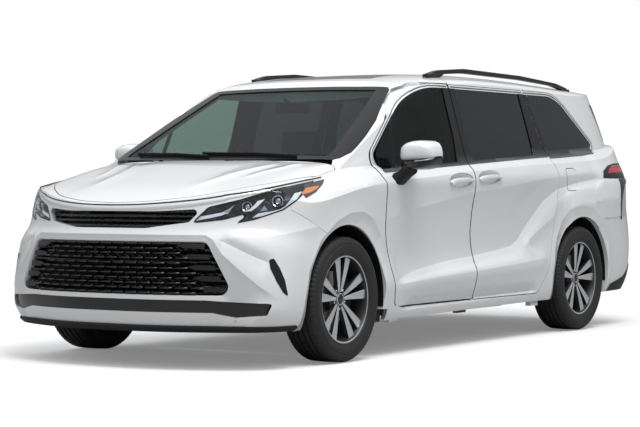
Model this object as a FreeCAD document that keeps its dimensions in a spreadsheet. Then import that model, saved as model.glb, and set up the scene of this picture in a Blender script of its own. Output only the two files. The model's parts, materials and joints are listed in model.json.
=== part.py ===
import FreeCAD, Part
import math
import os
import Sketcher

# A full-size minivan. X runs forward, Y to the left and Z up, in millimetres.
# The origin lies on the ground, on the centre plane, at the middle of the overall length.

os.makedirs("parts", exist_ok=True)
doc = FreeCAD.newDocument("minivan")
sheet = doc.addObject("Spreadsheet::Sheet", "sizes")

SIZES = {
    "overallLength": 5174,
    "bodyWidth": 1994,
    "roofHeight": 1740,
    "frontOverhang": 990,
    "wheelbase": 3060,
    "frontTrack": 1726,
    "rearTrack": 1734,
    "tyreRadius": 362,
    "tyreWidth": 235,
    "rimRadius": 252,
    "rimSeatWidth": 196,
    "hubRadius": 33,
    "discRadius": 160,
    "discThickness": 26,
    "archRadius": 428,
    "linerThickness": 4,
    "shutGap": 5,
    "glassThickness": 5,
    "glassInset": 4,
    "floorHeight": 340,
    "floorThickness": 36,
    "sillTop": 283,
    "doorTaper": 12,
    "bayDepth": 45,
    "railWidth": 34,
    "louvreCount": 9,
    "cupLength": 300,
    "cupHeight": 96,
    "cupDepth": 26,
    "louvreThickness": 14,
    "grilleDepth": 34,
    "spokePairs": 5,
    "seatWidth": 520,
    "seatDepth": 500,
    "seatBack": 640,
    "wheelDiameter": 376,
    "columnAngle": 24,
    "engineLength": 620,
    "engineWidth": 760,
    "engineHeight": 560,
}
for line, (alias, value) in enumerate(SIZES.items(), start=1):
    sheet.set("A%d" % line, alias)
    sheet.set("B%d" % line, str(value))
    sheet.setAlias("B%d" % line, alias)
doc.recompute()


def size(alias):
    """The number that the sheet holds under this word."""
    return float(getattr(sheet, alias))


def vec(x, y, z):
    return FreeCAD.Vector(x, y, z)


NOSE = size("overallLength") / 2
TAIL = -NOSE
HALF = size("bodyWidth") / 2
FRONT_AXLE = NOSE - size("frontOverhang")
REAR_AXLE = FRONT_AXLE - size("wheelbase")
HUB = size("tyreRadius")
ROOF = size("roofHeight")
GAP = size("shutGap")


# Free-form skins over nets of control points.

def clamped(count):
    """Multiplicities and knots of a clamped cubic over this many control points."""
    inner = count - 4
    return [4] + [1] * inner + [4], [float(k) for k in range(inner + 2)]


def skin(net):
    surface = Part.BSplineSurface()
    across, across_knots = clamped(len(net))
    along, along_knots = clamped(len(net[0]))
    surface.buildFromPolesMultsKnots(net, across, along, across_knots, along_knots, False, False, 3, 3)
    return surface


def mirrored_row(half):
    """A closed plan outline from tail centre round the left side to the nose and back."""
    return half + [vec(p.x, -p.y, p.z) for p in reversed(half[:-1])]


def tower(rows):
    """A solid between its lowest and highest outline, wrapped by one smooth skin."""
    wall = skin([mirrored_row(row) for row in rows]).toShape()
    low = [e for e in wall.Edges if abs(e.BoundBox.ZMax - rows[0][0].z) < 0.1]
    high = [e for e in wall.Edges if abs(e.BoundBox.ZMin - rows[-1][0].z) < 0.1]
    shell = Part.Shell([wall, Part.Face(Part.Wire(low)), Part.Face(Part.Wire(high))])
    shell.sewShape()
    solid = Part.Solid(shell)
    if solid.Volume < 0:
        solid.reverse()
    return solid


def fall(x, low_x, high_x):
    """A smooth step from 0 at low_x to 1 at high_x."""
    share = min(1.0, max(0.0, (x - low_x) / (high_x - low_x)))
    return share * share * (3 - 2 * share)


# The lower body. Each row of its net gives the height at the nose, beside the doors and at the tail,
# the half width at the doors, how far the wheel zones stand out, the nose and tail and the corner sweep.
BODY_ROWS = [
    (180, 180, 190, 900, 0, 45, 60, 0.80),
    (232, 215, 250, 932, 8, 32, 45, 0.80),
    (300, 262, 330, 948, 24, 10, 16, 0.76),
    (380, 350, 430, 962, 22, 0, 0, 0.82),
    (470, 446, 530, 985, 6, 0, 0, 0.85),
    (600, 500, 640, 974, 18, 0, 6, 0.95),
    (713, 610, 740, 940, 52, 0, 30, 1.02),
    (770, 740, 820, 936, 54, 45, 48, 1.15),
    (850, 880, 900, 948, 42, 52, 54, 1.20),
    (925, 985, 990, 968, 24, 70, 58, 1.20),
    (1000, 1050, 1060, 978, 12, 120, 66, 1.15),
    (1110, 1110, 1130, 958, 2, 220, 84, 1.10),
    (1230, 1190, 1220, 922, 0, 330, 100, 1.20),
    (1500, 1500, 1500, 830, 0, 420, 130, 1.10),
]
NOSE_STATIONS = [(640, 1.0), (430, 0.99), (265, 0.88), (110, 0.60), (0, 0.30), (0, 0.0)]
TAIL_STATIONS = [(0, 0.0), (0, 0.38), (32, 0.68), (115, 0.88), (270, 0.97), (500, 1.0)]
SHOULDER_RISE = 75.0
FIRST_RISING_ROW = 4


def side_stations():
    """Places along the side between the rear and the front corner."""
    front_door = FRONT_AXLE - 440
    slide_rear = REAR_AXLE + 410
    middle = (front_door + slide_rear) / 2
    return [REAR_AXLE - 280, REAR_AXLE, slide_rear + 60, slide_rear + 330, middle - 130,
            middle + 330, front_door - 260, front_door + 60, FRONT_AXLE]


def wheel_zone(x):
    """1 beside the wheels and 0 beside the doors."""
    front = fall(x, FRONT_AXLE - 640, FRONT_AXLE - 150)
    rear = 1 - fall(x, REAR_AXLE + 330, REAR_AXLE + 800)
    return max(front, rear)


def body_row(index, inset):
    front_z, side_z, rear_z, half, bulge, nose_in, tail_in, sweep = BODY_ROWS[index]
    nose = NOSE - nose_in - inset
    tail = TAIL + tail_in + inset
    rise = SHOULDER_RISE if FIRST_RISING_ROW <= index < len(BODY_ROWS) - 1 else 0.0
    scale = HALF / 997.0

    def width(x):
        return (half + bulge * wheel_zone(x)) * scale - inset

    def height(x):
        to_nose = fall(x, FRONT_AXLE + 100, nose - 200)
        to_tail = 1 - fall(x, tail + 250, REAR_AXLE - 50)
        along = side_z + rise * (0.5 - (x - REAR_AXLE) / (FRONT_AXLE - REAR_AXLE))
        return along + (front_z - along) * to_nose + (rear_z - along) * to_tail

    row = []
    for back, share in TAIL_STATIONS:
        x = tail + back
        row.append(vec(x, share * width(x), height(x)))
    for x in side_stations():
        row.append(vec(x, width(x), height(x)))
    for back, share in NOSE_STATIONS:
        x = nose - back * sweep
        row.append(vec(x, share * width(x), height(x)))
    return row


def lower_body(inset=0.0):
    rows = [body_row(k, inset) for k in range(len(BODY_ROWS))]
    for index in (0, -1):
        level = BODY_ROWS[index][1]
        rows[index] = [vec(p.x, p.y, level) for p in rows[index]]
    return tower(rows)


# The greenhouse: height, half width, windscreen centre and rear window centre of each row.
CABIN_ROWS = [
    (1000, 945, 1854, 2484),
    (1150, 906, 1566, 2476),
    (1350, 854, 1180, 2436),
    (1550, 801, 798, 2372),
    (1700, 762, 500, 2310),
    (1830, 727, 240, 2250),
]
SCREEN_STATIONS = [(330, 1.0), (140, 0.985), (58, 0.885), (0, 0.50), (0, 0.0)]
REAR_STATIONS = [(0, 0.0), (0, 0.45), (70, 0.79), (215, 0.94), (480, 0.995)]


def greenhouse(inset=0.0):
    rows = []
    for level, half, screen, rear in CABIN_ROWS:
        half = half * HALF / 997.0 - inset
        nose = FRONT_AXLE + screen - 1597 - inset * 1.9
        tail = TAIL + 2587 - rear + inset
        row = [vec(tail + back, share * half, level) for back, share in REAR_STATIONS]
        for step in (0.25, 0.5, 0.75):
            row.append(vec(tail + 480 + (nose - 330 - tail - 480) * step, half, level))
        row += [vec(nose - back, share * half, level) for back, share in SCREEN_STATIONS]
        rows.append(row)
    return tower(rows)


# Bonnet and shoulder surface, and roof surface: a profile along the centre and a drop towards the sides.
HOOD_PROFILE = [(1103, 850), (1010, 872), (900, 922), (710, 994), (500, 1046), (250, 1105), (0, 1160),
                (-280, 1188), (-800, 1208), (-1520, 1248), (-2700, 1292), (-3450, 1316), (-4400, 1334)]
HOOD_DROP = [(0, 0), (200, 0), (380, 1), (470, 10), (640, 15), (760, 20), (830, 34), (885, 66), (925, 104),
             (965, 150), (1030, 230), (1150, 400)]
ROOF_PROFILE = [(1103, 1390), (-500, 1560), (-800, 1620), (-1000, 1664), (-1220, 1708), (-1500, 1736),
                (-1900, 1750), (-2500, 1746), (-3000, 1733), (-3500, 1714), (-3900, 1696), (-4100, 1686),
                (-4400, 1672)]
ROOF_DROP = [(0, 0), (220, 0), (420, 6), (580, 16), (670, 30), (728, 46), (765, 66), (792, 108), (815, 190),
             (900, 520)]


def under_surface(profile, drop, lower_by=0.0, height_scale=1.0):
    """A solid below a crowned surface that runs the length of the van."""
    sides = [(-y, d) for y, d in reversed(drop[1:])] + drop
    net = []
    for along, level in profile:
        x = FRONT_AXLE + along
        net.append([vec(x, y * HALF / 997.0, level * height_scale - d - lower_by) for y, d in sides])
    return skin(net).toShape().extrude(vec(0, 0, -2600))


hood_solid = under_surface(HOOD_PROFILE, HOOD_DROP)
hood_inner = under_surface(HOOD_PROFILE, HOOD_DROP, size("bayDepth"))
roof_solid = under_surface(ROOF_PROFILE, ROOF_DROP, 0.0, ROOF / 1740.0)
lower = lower_body().common(hood_solid)
outer = lower.fuse(greenhouse().common(roof_solid))


# Outlines with rounded corners, and prisms over them.

def rounded_wire(points, place):
    """A closed wire through corners (a, b, radius), each corner rounded by an arc; place turns a, b into space."""
    count = len(points)
    joints = []
    for k in range(count):
        before, here, after = points[k - 1], points[k], points[(k + 1) % count]
        one = (before[0] - here[0], before[1] - here[1])
        two = (after[0] - here[0], after[1] - here[1])
        len_one, len_two = math.hypot(*one), math.hypot(*two)
        cosine = (one[0] * two[0] + one[1] * two[1]) / (len_one * len_two)
        angle = math.acos(max(-1.0, min(1.0, cosine)))
        radius = here[2] if len(here) > 2 else 0.0
        reach = radius / math.tan(angle / 2) if radius > 0 else 0.0
        limit = 0.49 * min(len_one, len_two)
        if reach > limit:
            radius, reach = radius * limit / reach, limit
        if reach < 0.5:
            joints.append([place(here[0], here[1])])
            continue
        start = (here[0] + one[0] / len_one * reach, here[1] + one[1] / len_one * reach)
        end = (here[0] + two[0] / len_two * reach, here[1] + two[1] / len_two * reach)
        half = (one[0] / len_one + two[0] / len_two, one[1] / len_one + two[1] / len_two)
        length = math.hypot(*half)
        depth = radius / math.sin(angle / 2) - radius
        middle = (here[0] + half[0] / length * depth, here[1] + half[1] / length * depth)
        joints.append([place(*start), place(*middle), place(*end)])
    edges = []
    for k in range(count):
        joint, following = joints[k], joints[(k + 1) % count]
        if len(joint) == 3:
            edges.append(Part.Arc(*joint).toShape())
        if joint[-1].distanceToPoint(following[0]) > 1e-4:
            edges.append(Part.makeLine(joint[-1], following[0]))
    return Part.Wire(edges)


def grown(points, distance):
    """The same corners with every side moved outward by this distance."""
    count = len(points)
    area = sum(points[k - 1][0] * points[k][1] - points[k][0] * points[k - 1][1] for k in range(count))
    turn = 1.0 if area > 0 else -1.0
    sides = []
    for k in range(count):
        a, b = points[k - 1], points[k]
        dx, dy = b[0] - a[0], b[1] - a[1]
        length = math.hypot(dx, dy)
        nx, ny = turn * dy / length, -turn * dx / length
        sides.append((a[0] + nx * distance, a[1] + ny * distance, dx / length, dy / length))
    result = []
    for k in range(count):
        x1, y1, dx1, dy1 = sides[k]
        x2, y2, dx2, dy2 = sides[(k + 1) % count]
        cross = dx1 * dy2 - dy1 * dx2
        if abs(cross) < 1e-6:
            result.append((x2, y2, points[k][2]))
            continue
        along = ((x2 - x1) * dy2 - (y2 - y1) * dx2) / cross
        radius = max(0.0, points[k][2] + distance) if points[k][2] > 0 else 0.0
        result.append((x1 + dx1 * along, y1 + dy1 * along, radius))
    return result


def prism_side(points, y_low, y_high):
    """A prism along Y over corners (x, z, radius)."""
    wire = rounded_wire(points, lambda a, b: vec(a, y_low, b))
    return Part.Face(wire).extrude(vec(0, y_high - y_low, 0))


def prism_plan(points, z_low, z_high):
    """A prism along Z over corners (x, y, radius)."""
    wire = rounded_wire(points, lambda a, b: vec(a, b, z_low))
    return Part.Face(wire).extrude(vec(0, 0, z_high - z_low))


def prism_front(points, x_low, x_high):
    """A prism along X over corners (y, z, radius)."""
    wire = rounded_wire(points, lambda a, b: vec(x_low, a, b))
    return Part.Face(wire).extrude(vec(x_high - x_low, 0, 0))


def sharp(points):
    return [(a, b, 0.0) for a, b in points]


def both_sides(points):
    """Corners given for the left half, from the lowest on the centre to the highest, made whole."""
    return points + [(-p[0],) + tuple(p[1:]) for p in reversed(points)]


def box(x_low, x_high, y_low, y_high, z_low, z_high):
    return Part.makeBox(x_high - x_low, y_high - y_low, z_high - z_low, vec(x_low, y_low, z_low))


def mirror_y(shape):
    return shape.mirror(vec(0, 0, 0), vec(0, 1, 0))


def joined(shapes):
    return shapes[0].fuse(shapes[1:]) if len(shapes) > 1 else shapes[0]


def both(shape):
    """The shape and its mirror image as separate solids."""
    return Part.makeCompound([shape, mirror_y(shape)])


# Places that several pieces share.

DOOR_FRONT = FRONT_AXLE - 440
PILLAR_B = FRONT_AXLE - 1533
SLIDE_REAR = REAR_AXLE + 372
SCREEN_BASE = FRONT_AXLE - 77
BELT_FRONT = 1092
BELT_REAR = 1246
SILL_TOP = size("sillTop")
FLOOR = size("floorHeight")

# The line round all side windows, in side view.
WINDOW_LINE = [
    (DOOR_FRONT - 62, BELT_FRONT, 30),
    (DOOR_FRONT + 10, BELT_FRONT + 96, 60),
    (FRONT_AXLE - 1007, 1640, 1500),
    (REAR_AXLE + 27, 1636, 450),
    (REAR_AXLE - 420, BELT_REAR + 48, 45),
    (REAR_AXLE - 366, BELT_REAR, 36),
]
FRAME_BAND = 16.0

# The cabin, seen from the side and from the front.
CABIN_SIDE = sharp([
    (FRONT_AXLE - 307, 100),
    (FRONT_AXLE - 307, 1060),
    (FRONT_AXLE - 120, 1116),
    (FRONT_AXLE - 1100, 1622),
    (FRONT_AXLE - 1400, 1672),
    (FRONT_AXLE - 1900, ROOF - 40),
    (REAR_AXLE - 40, ROOF - 58),
    (TAIL + 420, ROOF - 98),
    (TAIL + 210, 1140),
    (TAIL + 130, 800),
    (TAIL + 130, 100),
])
CABIN_FRONT = sharp(both_sides([
    (HALF - 120, 100),
    (HALF - 112, 700),
    (HALF - 112, 1000),
    (HALF - 132, 1116),
    (HALF - 262, 1628),
    (HALF - 350, ROOF - 46),
    (HALF - 350, ROOF + 60),
]))


CABIN_PLAN = sharp([
    (FRONT_AXLE, HALF), (TAIL + 450, HALF - 116), (TAIL + 330, HALF - 136), (TAIL + 200, HALF - 226),
    (TAIL + 130, 560), (TAIL + 130, -560), (TAIL + 200, 226 - HALF), (TAIL + 330, 136 - HALF),
    (TAIL + 450, 116 - HALF), (FRONT_AXLE, -HALF)])
CABIN_CORNER = sharp([
    (TAIL + 60, 520), (TAIL + 60, HALF), (TAIL + 800, HALF), (TAIL + 740, 716), (TAIL + 480, 640)])


def cabin_space(inset):
    """The room inside the doors and roof, drawn in by the inset."""
    room = prism_side(grown(CABIN_SIDE, -inset), -HALF, HALF)
    room = room.common(prism_front(grown(CABIN_FRONT, -inset), TAIL, NOSE))
    room = room.common(prism_plan(grown(CABIN_PLAN, -inset), 0, ROOF + 60))
    corner = prism_plan(CABIN_CORNER, 1116, ROOF + 60)
    return room.cut([corner, mirror_y(corner)])


cabin = cabin_space(0.0)


def arch(axle, y_low, y_high, extra=0.0):
    return Part.makeCylinder(size("archRadius") + extra, y_high - y_low, vec(axle, y_low, HUB), vec(0, 1, 0))


FRONT_WELL_INNER = 530.0
REAR_WELL_INNER = 700.0
wells = [arch(FRONT_AXLE, FRONT_WELL_INNER, HALF + 60), arch(REAR_AXLE, REAR_WELL_INNER, HALF + 60)]
wells_both = Part.makeCompound(wells + [mirror_y(w) for w in wells])

# The engine bay in plan.
BAY_PLAN = [(x, y, 0.0) for x, y, r in [
    (FRONT_AXLE - 307, HALF - 62, 0), (FRONT_AXLE + 150, HALF - 62, 0), (FRONT_AXLE + 430, HALF - 180, 0),
    (FRONT_AXLE + 650, 640, 0), (FRONT_AXLE + 800, 400, 0), (FRONT_AXLE + 800, -400, 0),
    (FRONT_AXLE + 650, -640, 0), (FRONT_AXLE + 430, 180 - HALF, 0), (FRONT_AXLE + 150, 62 - HALF, 0),
    (FRONT_AXLE - 307, 62 - HALF, 0)]]
bay = prism_plan(BAY_PLAN, 100, 1300).common(hood_inner)
walls = outer.cut([cabin, bay, wells_both])

# Bonnet outline in plan.
HOOD_HALF = [
    (FRONT_AXLE + 905, 0, 0), (FRONT_AXLE + 880, 260, 600), (FRONT_AXLE + 800, 480, 600),
    (FRONT_AXLE + 640, 660, 600), (FRONT_AXLE + 470, 790, 600), (FRONT_AXLE + 160, 872, 300),
    (FRONT_AXLE - 60, 862, 60), (SCREEN_BASE + 10, 700, 300), (SCREEN_BASE + 60, 0, 0)]


def whole_plan(half):
    return half + [(p[0], -p[1], p[2]) for p in reversed(half) if abs(p[1]) > 1e-6]


HOOD_LEAN = 0.30
HOOD_BASE = 700.0


def hood_level(x):
    """Height of the bonnet profile at a place along the van."""
    for (a, level_a), (b, level_b) in zip(HOOD_PROFILE, HOOD_PROFILE[1:]):
        if FRONT_AXLE + b <= x <= FRONT_AXLE + a:
            return level_a + (level_b - level_a) * (FRONT_AXLE + a - x) / (a - b)
    return level_b


def leaning_prism(points):
    """A prism over a plan outline whose walls lean forward, along the path of the opening bonnet's nose."""
    base = [(x - (hood_level(x) - HOOD_BASE) * HOOD_LEAN, y, r) for x, y, r in points]
    wire = rounded_wire(base, lambda a, b: vec(a, b, HOOD_BASE))
    return Part.Face(wire).extrude(vec(600 * HOOD_LEAN, 0, 600))


hood = outer.common(leaning_prism(whole_plan(HOOD_HALF))).cut(hood_inner)
hood_gap = leaning_prism(grown(whole_plan(HOOD_HALF), GAP))

# Front doors.
window_wide = grown(WINDOW_LINE, FRAME_BAND)
DOOR_LINE = [
    (DOOR_FRONT - 118, SILL_TOP + GAP, 40),
    (DOOR_FRONT - 6, 720, 700),
    (DOOR_FRONT + 2, BELT_FRONT - 8, 60),
    window_wide[1],
    window_wide[2],
    (PILLAR_B + 10, 1640 + FRAME_BAND, 0),
    (PILLAR_B, 1150, 400),
    (PILLAR_B + 4, 700, 600),
    (PILLAR_B - 2, SILL_TOP + GAP, 12),
]
SLIDE_LINE = [
    (PILLAR_B - 2 - GAP, SILL_TOP + GAP, 12),
    (PILLAR_B + 4 - GAP, 700, 600),
    (PILLAR_B - GAP, 1150, 400),
    (PILLAR_B + 10 - GAP, 1640, 0),
    (PILLAR_B + 14 - GAP, ROOF, 0),
    (SLIDE_REAR + 90, ROOF, 0),
    (SLIDE_REAR + 150, 1640, 300),
    (SLIDE_REAR - 20, 1110, 300),
    (SLIDE_REAR + 10, 880, 400),
    (SLIDE_REAR + 150, 440, 300),
    (SLIDE_REAR + 270, SILL_TOP + GAP, 60),
]
ROOF_DITCH = 704.0


def window_part(front_x, rear_x, grow=0.0):
    """The part of the window line between two places along the van."""
    points = grown(WINDOW_LINE, grow) if grow else WINDOW_LINE
    return prism_side(points, 300, HALF + 60).common(box(rear_x, front_x, 300, HALF + 60, 900, ROOF))


def tapered_side(points, y_low, y_high, inset):
    """A prism along Y whose inner end is smaller all round by the inset."""
    small = [(a, b, p[2]) for (a, b, r), p in zip(grown(points, -inset), points)]
    inner_wire = rounded_wire(small, lambda a, b: vec(a, y_low, b))
    outer_wire = rounded_wire(points, lambda a, b: vec(a, y_high, b))
    return Part.makeLoft([inner_wire, outer_wire], True, True)


REAR_EDGE = TAIL + 372
DOOR_INNER = 24.0


def side_band(shift):
    """The space outboard of the windscreen and roof edges, seen in plan."""
    edge = [(FRONT_AXLE - 172, 770), (FRONT_AXLE - 1000, 648), (FRONT_AXLE - 1240, ROOF_DITCH), (TAIL, ROOF_DITCH)]
    line = [(x, y + shift, 0) for x, y in edge]
    line = [(FRONT_AXLE + 60, 805 + shift, 0)] + line + [(TAIL, HALF + 60, 0), (FRONT_AXLE + 60, HALF + 60, 0)]
    return prism_plan(line, 100, ROOF + 60)


side_half = box(TAIL - 50, NOSE + 50, 300, HALF + 60, 0, ROOF + 60)

window_glass = greenhouse(size("glassInset")).cut(greenhouse(size("glassInset") + size("glassThickness")))
under_cut = prism_side(sharp([(NOSE, 100), (NOSE, 232), (FRONT_AXLE + 420, 206), (DOOR_FRONT, 214),
                              (REAR_AXLE + 450, 234), (REAR_AXLE - 300, 240), (TAIL + 330, 262), (TAIL, 300),
                              (TAIL, 100)]), -HALF - 50, HALF + 50)
walls = walls.cut(under_cut)

door_left = walls.common(tapered_side(DOOR_LINE, 560, HALF + 60, size("doorTaper") * 2))
front_opening = window_part(DOOR_FRONT + 60, PILLAR_B + 92, -10)
door_left = door_left.common(side_band(DOOR_INNER)).cut(front_opening)
door_glass_left = window_glass.common(front_opening)

slide_prism = prism_side(SLIDE_LINE, ROOF_DITCH + GAP, HALF + 60)
slide_opening = window_part(PILLAR_B - 66, SLIDE_REAR + 190, -10)
slide_left = walls.common(slide_prism).cut(slide_opening)
quarter_opening = window_part(SLIDE_REAR + 200, TAIL, -10).cut(
    prism_side(grown(SLIDE_LINE, 45), 300, HALF + 60))
side_glass_left = [window_glass.common(slide_opening), window_glass.common(quarter_opening)]
side_glass = Part.makeCompound([s for g in side_glass_left for s in (g, mirror_y(g))])

# Windscreen and roof outlines in plan.
SCREEN_TOP = [(FRONT_AXLE - 942, 0, 0), (FRONT_AXLE - 958, 350, 900), (FRONT_AXLE - 1000, 648, 30)]
SCREEN_LOW = [(FRONT_AXLE - 176, 766, 8), (FRONT_AXLE - 120, 400, 900), (FRONT_AXLE - 100, 0, 0)]
screen_prism = prism_plan(whole_plan(SCREEN_TOP + SCREEN_LOW), 1100, ROOF)
windscreen = window_glass.common(screen_prism)
roof_plan = [(FRONT_AXLE - 942, 0, 0), (FRONT_AXLE - 958, 350, 900), (FRONT_AXLE - 1000, 648, 0),
             (FRONT_AXLE - 1240, ROOF_DITCH, 200), (REAR_EDGE, ROOF_DITCH, 0), (REAR_EDGE, 0, 0)]
roof_prism = prism_plan(whole_plan(roof_plan), 1500, ROOF + 60)
SUNROOF = [(FRONT_AXLE - 1130, 0, 0), (FRONT_AXLE - 1140, 380, 900), (FRONT_AXLE - 1150, 430, 40),
           (FRONT_AXLE - 1640, 440, 60), (FRONT_AXLE - 1640, 0, 0)]
sunroof_prism = prism_plan(whole_plan(SUNROOF), 1500, ROOF + 60)
roof_panel = walls.common(roof_prism).cut(sunroof_prism)
sunroof_outer = under_surface(ROOF_PROFILE, ROOF_DROP, 2.0, ROOF / 1740.0)
sunroof_inner = under_surface(ROOF_PROFILE, ROOF_DROP, 12.0, ROOF / 1740.0)
roof_window = prism_plan(whole_plan(SUNROOF), 1500, ROOF + 60).common(sunroof_outer).cut(sunroof_inner)

# Tailgate outline seen from behind, and its window.
GATE_LINE = both_sides([
    (560, 560, 60), (700, 720, 120), (742, 1000, 200), (748, 1190, 200), (676, 1600, 200), (640, ROOF + 100, 0)])
GATE_TAPER = 64.0


def gate_block(grow, front_x):
    """A prism along X for the tailgate, narrower towards the cabin."""
    rear = grown(GATE_LINE, grow) if grow else GATE_LINE
    front = [(a, b, q[2]) for (a, b, r), q in zip(grown(rear, -GATE_TAPER), rear)]
    front = [(a, b if b < ROOF - 20 else ROOF + 100, r) for a, b, r in front]
    wires = [rounded_wire(rear, lambda a, b: vec(TAIL - 60, a, b)), rounded_wire(front, lambda a, b: vec(front_x, a, b))]
    return Part.makeLoft(wires, True, True)


gate_prism = gate_block(0.0, REAR_EDGE - GAP)
gate_hole = gate_block(GAP, REAR_EDGE)
GATE_WINDOW = both_sides([(640, 1196, 60), (560, 1570, 70)])
gate_opening = prism_front(GATE_WINDOW, TAIL - 60, REAR_EDGE)
tailgate = walls.common(gate_prism).cut(gate_opening)
PLATE_HOLES = [Part.makeCylinder(3, 60, vec(TAIL, y, 930), vec(1, 0, 0)) for y in (-89, 89)]
tailgate = tailgate.cut(PLATE_HOLES)
rear_glass = window_glass.common(gate_opening)

# Lamps.
TAIL_LAMP = [(REAR_AXLE - 408, 1056, 8), (REAR_AXLE - 446, 1136, 20), (TAIL + 215, 1172, 60), (TAIL - 20, 1178, 0),
             (TAIL - 20, 1064, 0), (TAIL + 250, 1050, 0)]
tail_prism = prism_side(TAIL_LAMP, 500, HALF + 60)
LAMP_TURN = math.radians(33.0)


def oblique_prism(points, depth_low, depth_high):
    """A prism along the level direction that bisects the front corner, over corners (across, z, radius)."""
    forward = vec(math.cos(LAMP_TURN), math.sin(LAMP_TURN), 0)
    across = vec(-math.sin(LAMP_TURN), math.cos(LAMP_TURN), 0)
    base = vec(FRONT_AXLE + 550, HALF - 300, 0)

    def place(a, b):
        return base + forward * depth_low + across * a + vec(0, 0, b)

    return Part.Face(rounded_wire(points, place)).extrude(forward * (depth_high - depth_low))


HEADLAMP = [(-330, 806, 12), (-236, 896, 60), (-60, 938, 0), (150, 1002, 0), (352, 1058, 30), (322, 1000, 60),
            (250, 930, 60), (176, 878, 60), (20, 826, 20), (-82, 806, 4), (-8, 864, 10), (-150, 826, 60)]
lamp_prism = oblique_prism(HEADLAMP, -400, 500)
lamp_hole = lamp_prism
lamp_left = outer.common(lamp_prism).cut(lower_body(90.0)).cut(hood_gap)

# Front bumper, grilles and fenders.
fender_line = [
    (DOOR_FRONT - 60, 150, 0), (DOOR_FRONT - 118 + GAP, SILL_TOP, 40), (DOOR_FRONT - 6 + GAP, 720, 700),
    (DOOR_FRONT + 2 + GAP, BELT_FRONT - 8, 60), (DOOR_FRONT + 16 + GAP, BELT_FRONT + 122, 0),
    (DOOR_FRONT + 140, BELT_FRONT + 168, 0), (FRONT_AXLE + 100, 1280, 0), (FRONT_AXLE + 513, 1200, 0),
    (FRONT_AXLE + 500, 879, 0), (FRONT_AXLE + 143, 700, 0), (FRONT_AXLE - 100, 600, 0), (FRONT_AXLE - 100, 150, 0)]
fender_prism = prism_side(fender_line, 300, HALF + 60)
sill_block = box(DOOR_FRONT - 300, FRONT_AXLE, 300, HALF + 60, 100, SILL_TOP)
cowl_plan = [(FRONT_AXLE - 22, 0, 0), (FRONT_AXLE - 72, 700, 300), (FRONT_AXLE - 66, 838, 0),
             (FRONT_AXLE - 176, 770, 0), (FRONT_AXLE - 120, 400, 900), (FRONT_AXLE - 100, 0, 0)]
cowl_prism = prism_plan(whole_plan(cowl_plan), 900, 1300)
screen_zone = [(FRONT_AXLE + 20, 0, 0), (FRONT_AXLE - 30, 845, 0), (FRONT_AXLE - 176, 770, 0), (FRONT_AXLE - 1000, 648, 0),
               (FRONT_AXLE - 1000, 0, 0)]
screen_room = prism_plan(whole_plan(screen_zone), 900, ROOF)
fender_left = walls.common(fender_prism).cut([hood_gap, lamp_hole, sill_block, screen_room])
bumper_line = [
    (FRONT_AXLE + 100, 150, 0), (FRONT_AXLE + 100, 680, 0), (FRONT_AXLE + 143 + 2, 700 - 2, 0),
    (FRONT_AXLE + 502, 877, 0), (FRONT_AXLE + 515, 1200, 0), (NOSE + 50, 1200, 0), (NOSE + 50, 150, 0)]
bumper_prism = prism_side(bumper_line, -HALF - 60, HALF + 60)
LOWER_GRILLE = both_sides([(764, 412, 50), (606, 712, 46)])
UPPER_GRILLE = both_sides([(250, 779, 200), (486, 812, 20), (548, 886, 30), (300, 872, 900)])
LOWER_SLOT = both_sides([(640, 318, 60), (760, 292, 30), (905, 306, 14), (930, 370, 12), (610, 388, 60)])
grille_hole = prism_front(LOWER_GRILLE, FRONT_AXLE, NOSE + 50)
upper_hole = prism_front(UPPER_GRILLE, FRONT_AXLE, NOSE + 50)
slot_hole = prism_front(LOWER_SLOT, FRONT_AXLE + 400, NOSE + 50)
bumper_whole = walls.common(bumper_prism).cut([hood_gap, lamp_hole, mirror_y(lamp_hole), grille_hole, upper_hole,
                                               slot_hole])
nose_left = box(FRONT_AXLE, NOSE + 50, 0, HALF + 60, 0, 1300)
front_bumper = joined([bumper_whole.common(nose_left), bumper_whole.common(mirror_y(nose_left))])


def grille(outline, pitch_from, pitch_to, count, setback):
    """Level blades that follow the nose, on a back plate, inside an outline seen from the front."""
    front = lower_body(setback)
    hole = prism_front(outline, FRONT_AXLE, NOSE)
    band = front.cut(lower_body(setback + size("grilleDepth"))).common(hole)
    plate = lower_body(setback + size("grilleDepth")).cut(lower_body(setback + size("grilleDepth") + 12))
    blades = [plate.common(hole)]
    pitch = (pitch_to - pitch_from) / count
    for k in range(count):
        level = pitch_from + pitch * (k + 0.5)
        half = size("louvreThickness") / 2
        slab = box(FRONT_AXLE, NOSE, -HALF, HALF, level - half, level + half)
        blades.append(band.common(slab))
    return joined(blades)


slot_plate = lower_body(16.0).cut(lower_body(28.0)).common(slot_hole)
lower_grille = Part.makeCompound([grille(LOWER_GRILLE, 412, 712, int(size("louvreCount")), 22.0), slot_plate])
upper_grille = grille(UPPER_GRILLE, 779, 886, 4, 26.0).cut([lamp_hole, mirror_y(lamp_hole), hood_gap])

# Rear bumper and body sides.
rear_line = [(REAR_AXLE - 250, 150, 0), (REAR_AXLE - 250, 700, 0), (REAR_AXLE - 330, 772, 0), (TAIL + 180, 796, 0),
             (TAIL - 50, 800, 0), (TAIL - 50, 150, 0)]
rear_prism = prism_side(rear_line, -HALF - 60, HALF + 60)
rear_bumper = walls.common(rear_prism).cut(gate_hole)
GATE_STOP = 579.5
gate_stop = box(TAIL + 79, TAIL + 95, 300, 340, 560, GATE_STOP)
rear_bumper = joined([rear_bumper, gate_stop, mirror_y(gate_stop)])
side_plan = [(FRONT_AXLE - 172, 770, 0), (FRONT_AXLE - 1000, 648, 0), (FRONT_AXLE - 1240, ROOF_DITCH, 0),
             (REAR_EDGE, ROOF_DITCH, 0), (REAR_EDGE, 300, 0), (TAIL - 50, 300, 0), (TAIL - 50, HALF + 60, 0),
             (FRONT_AXLE - 172, HALF + 60, 0)]
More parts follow.
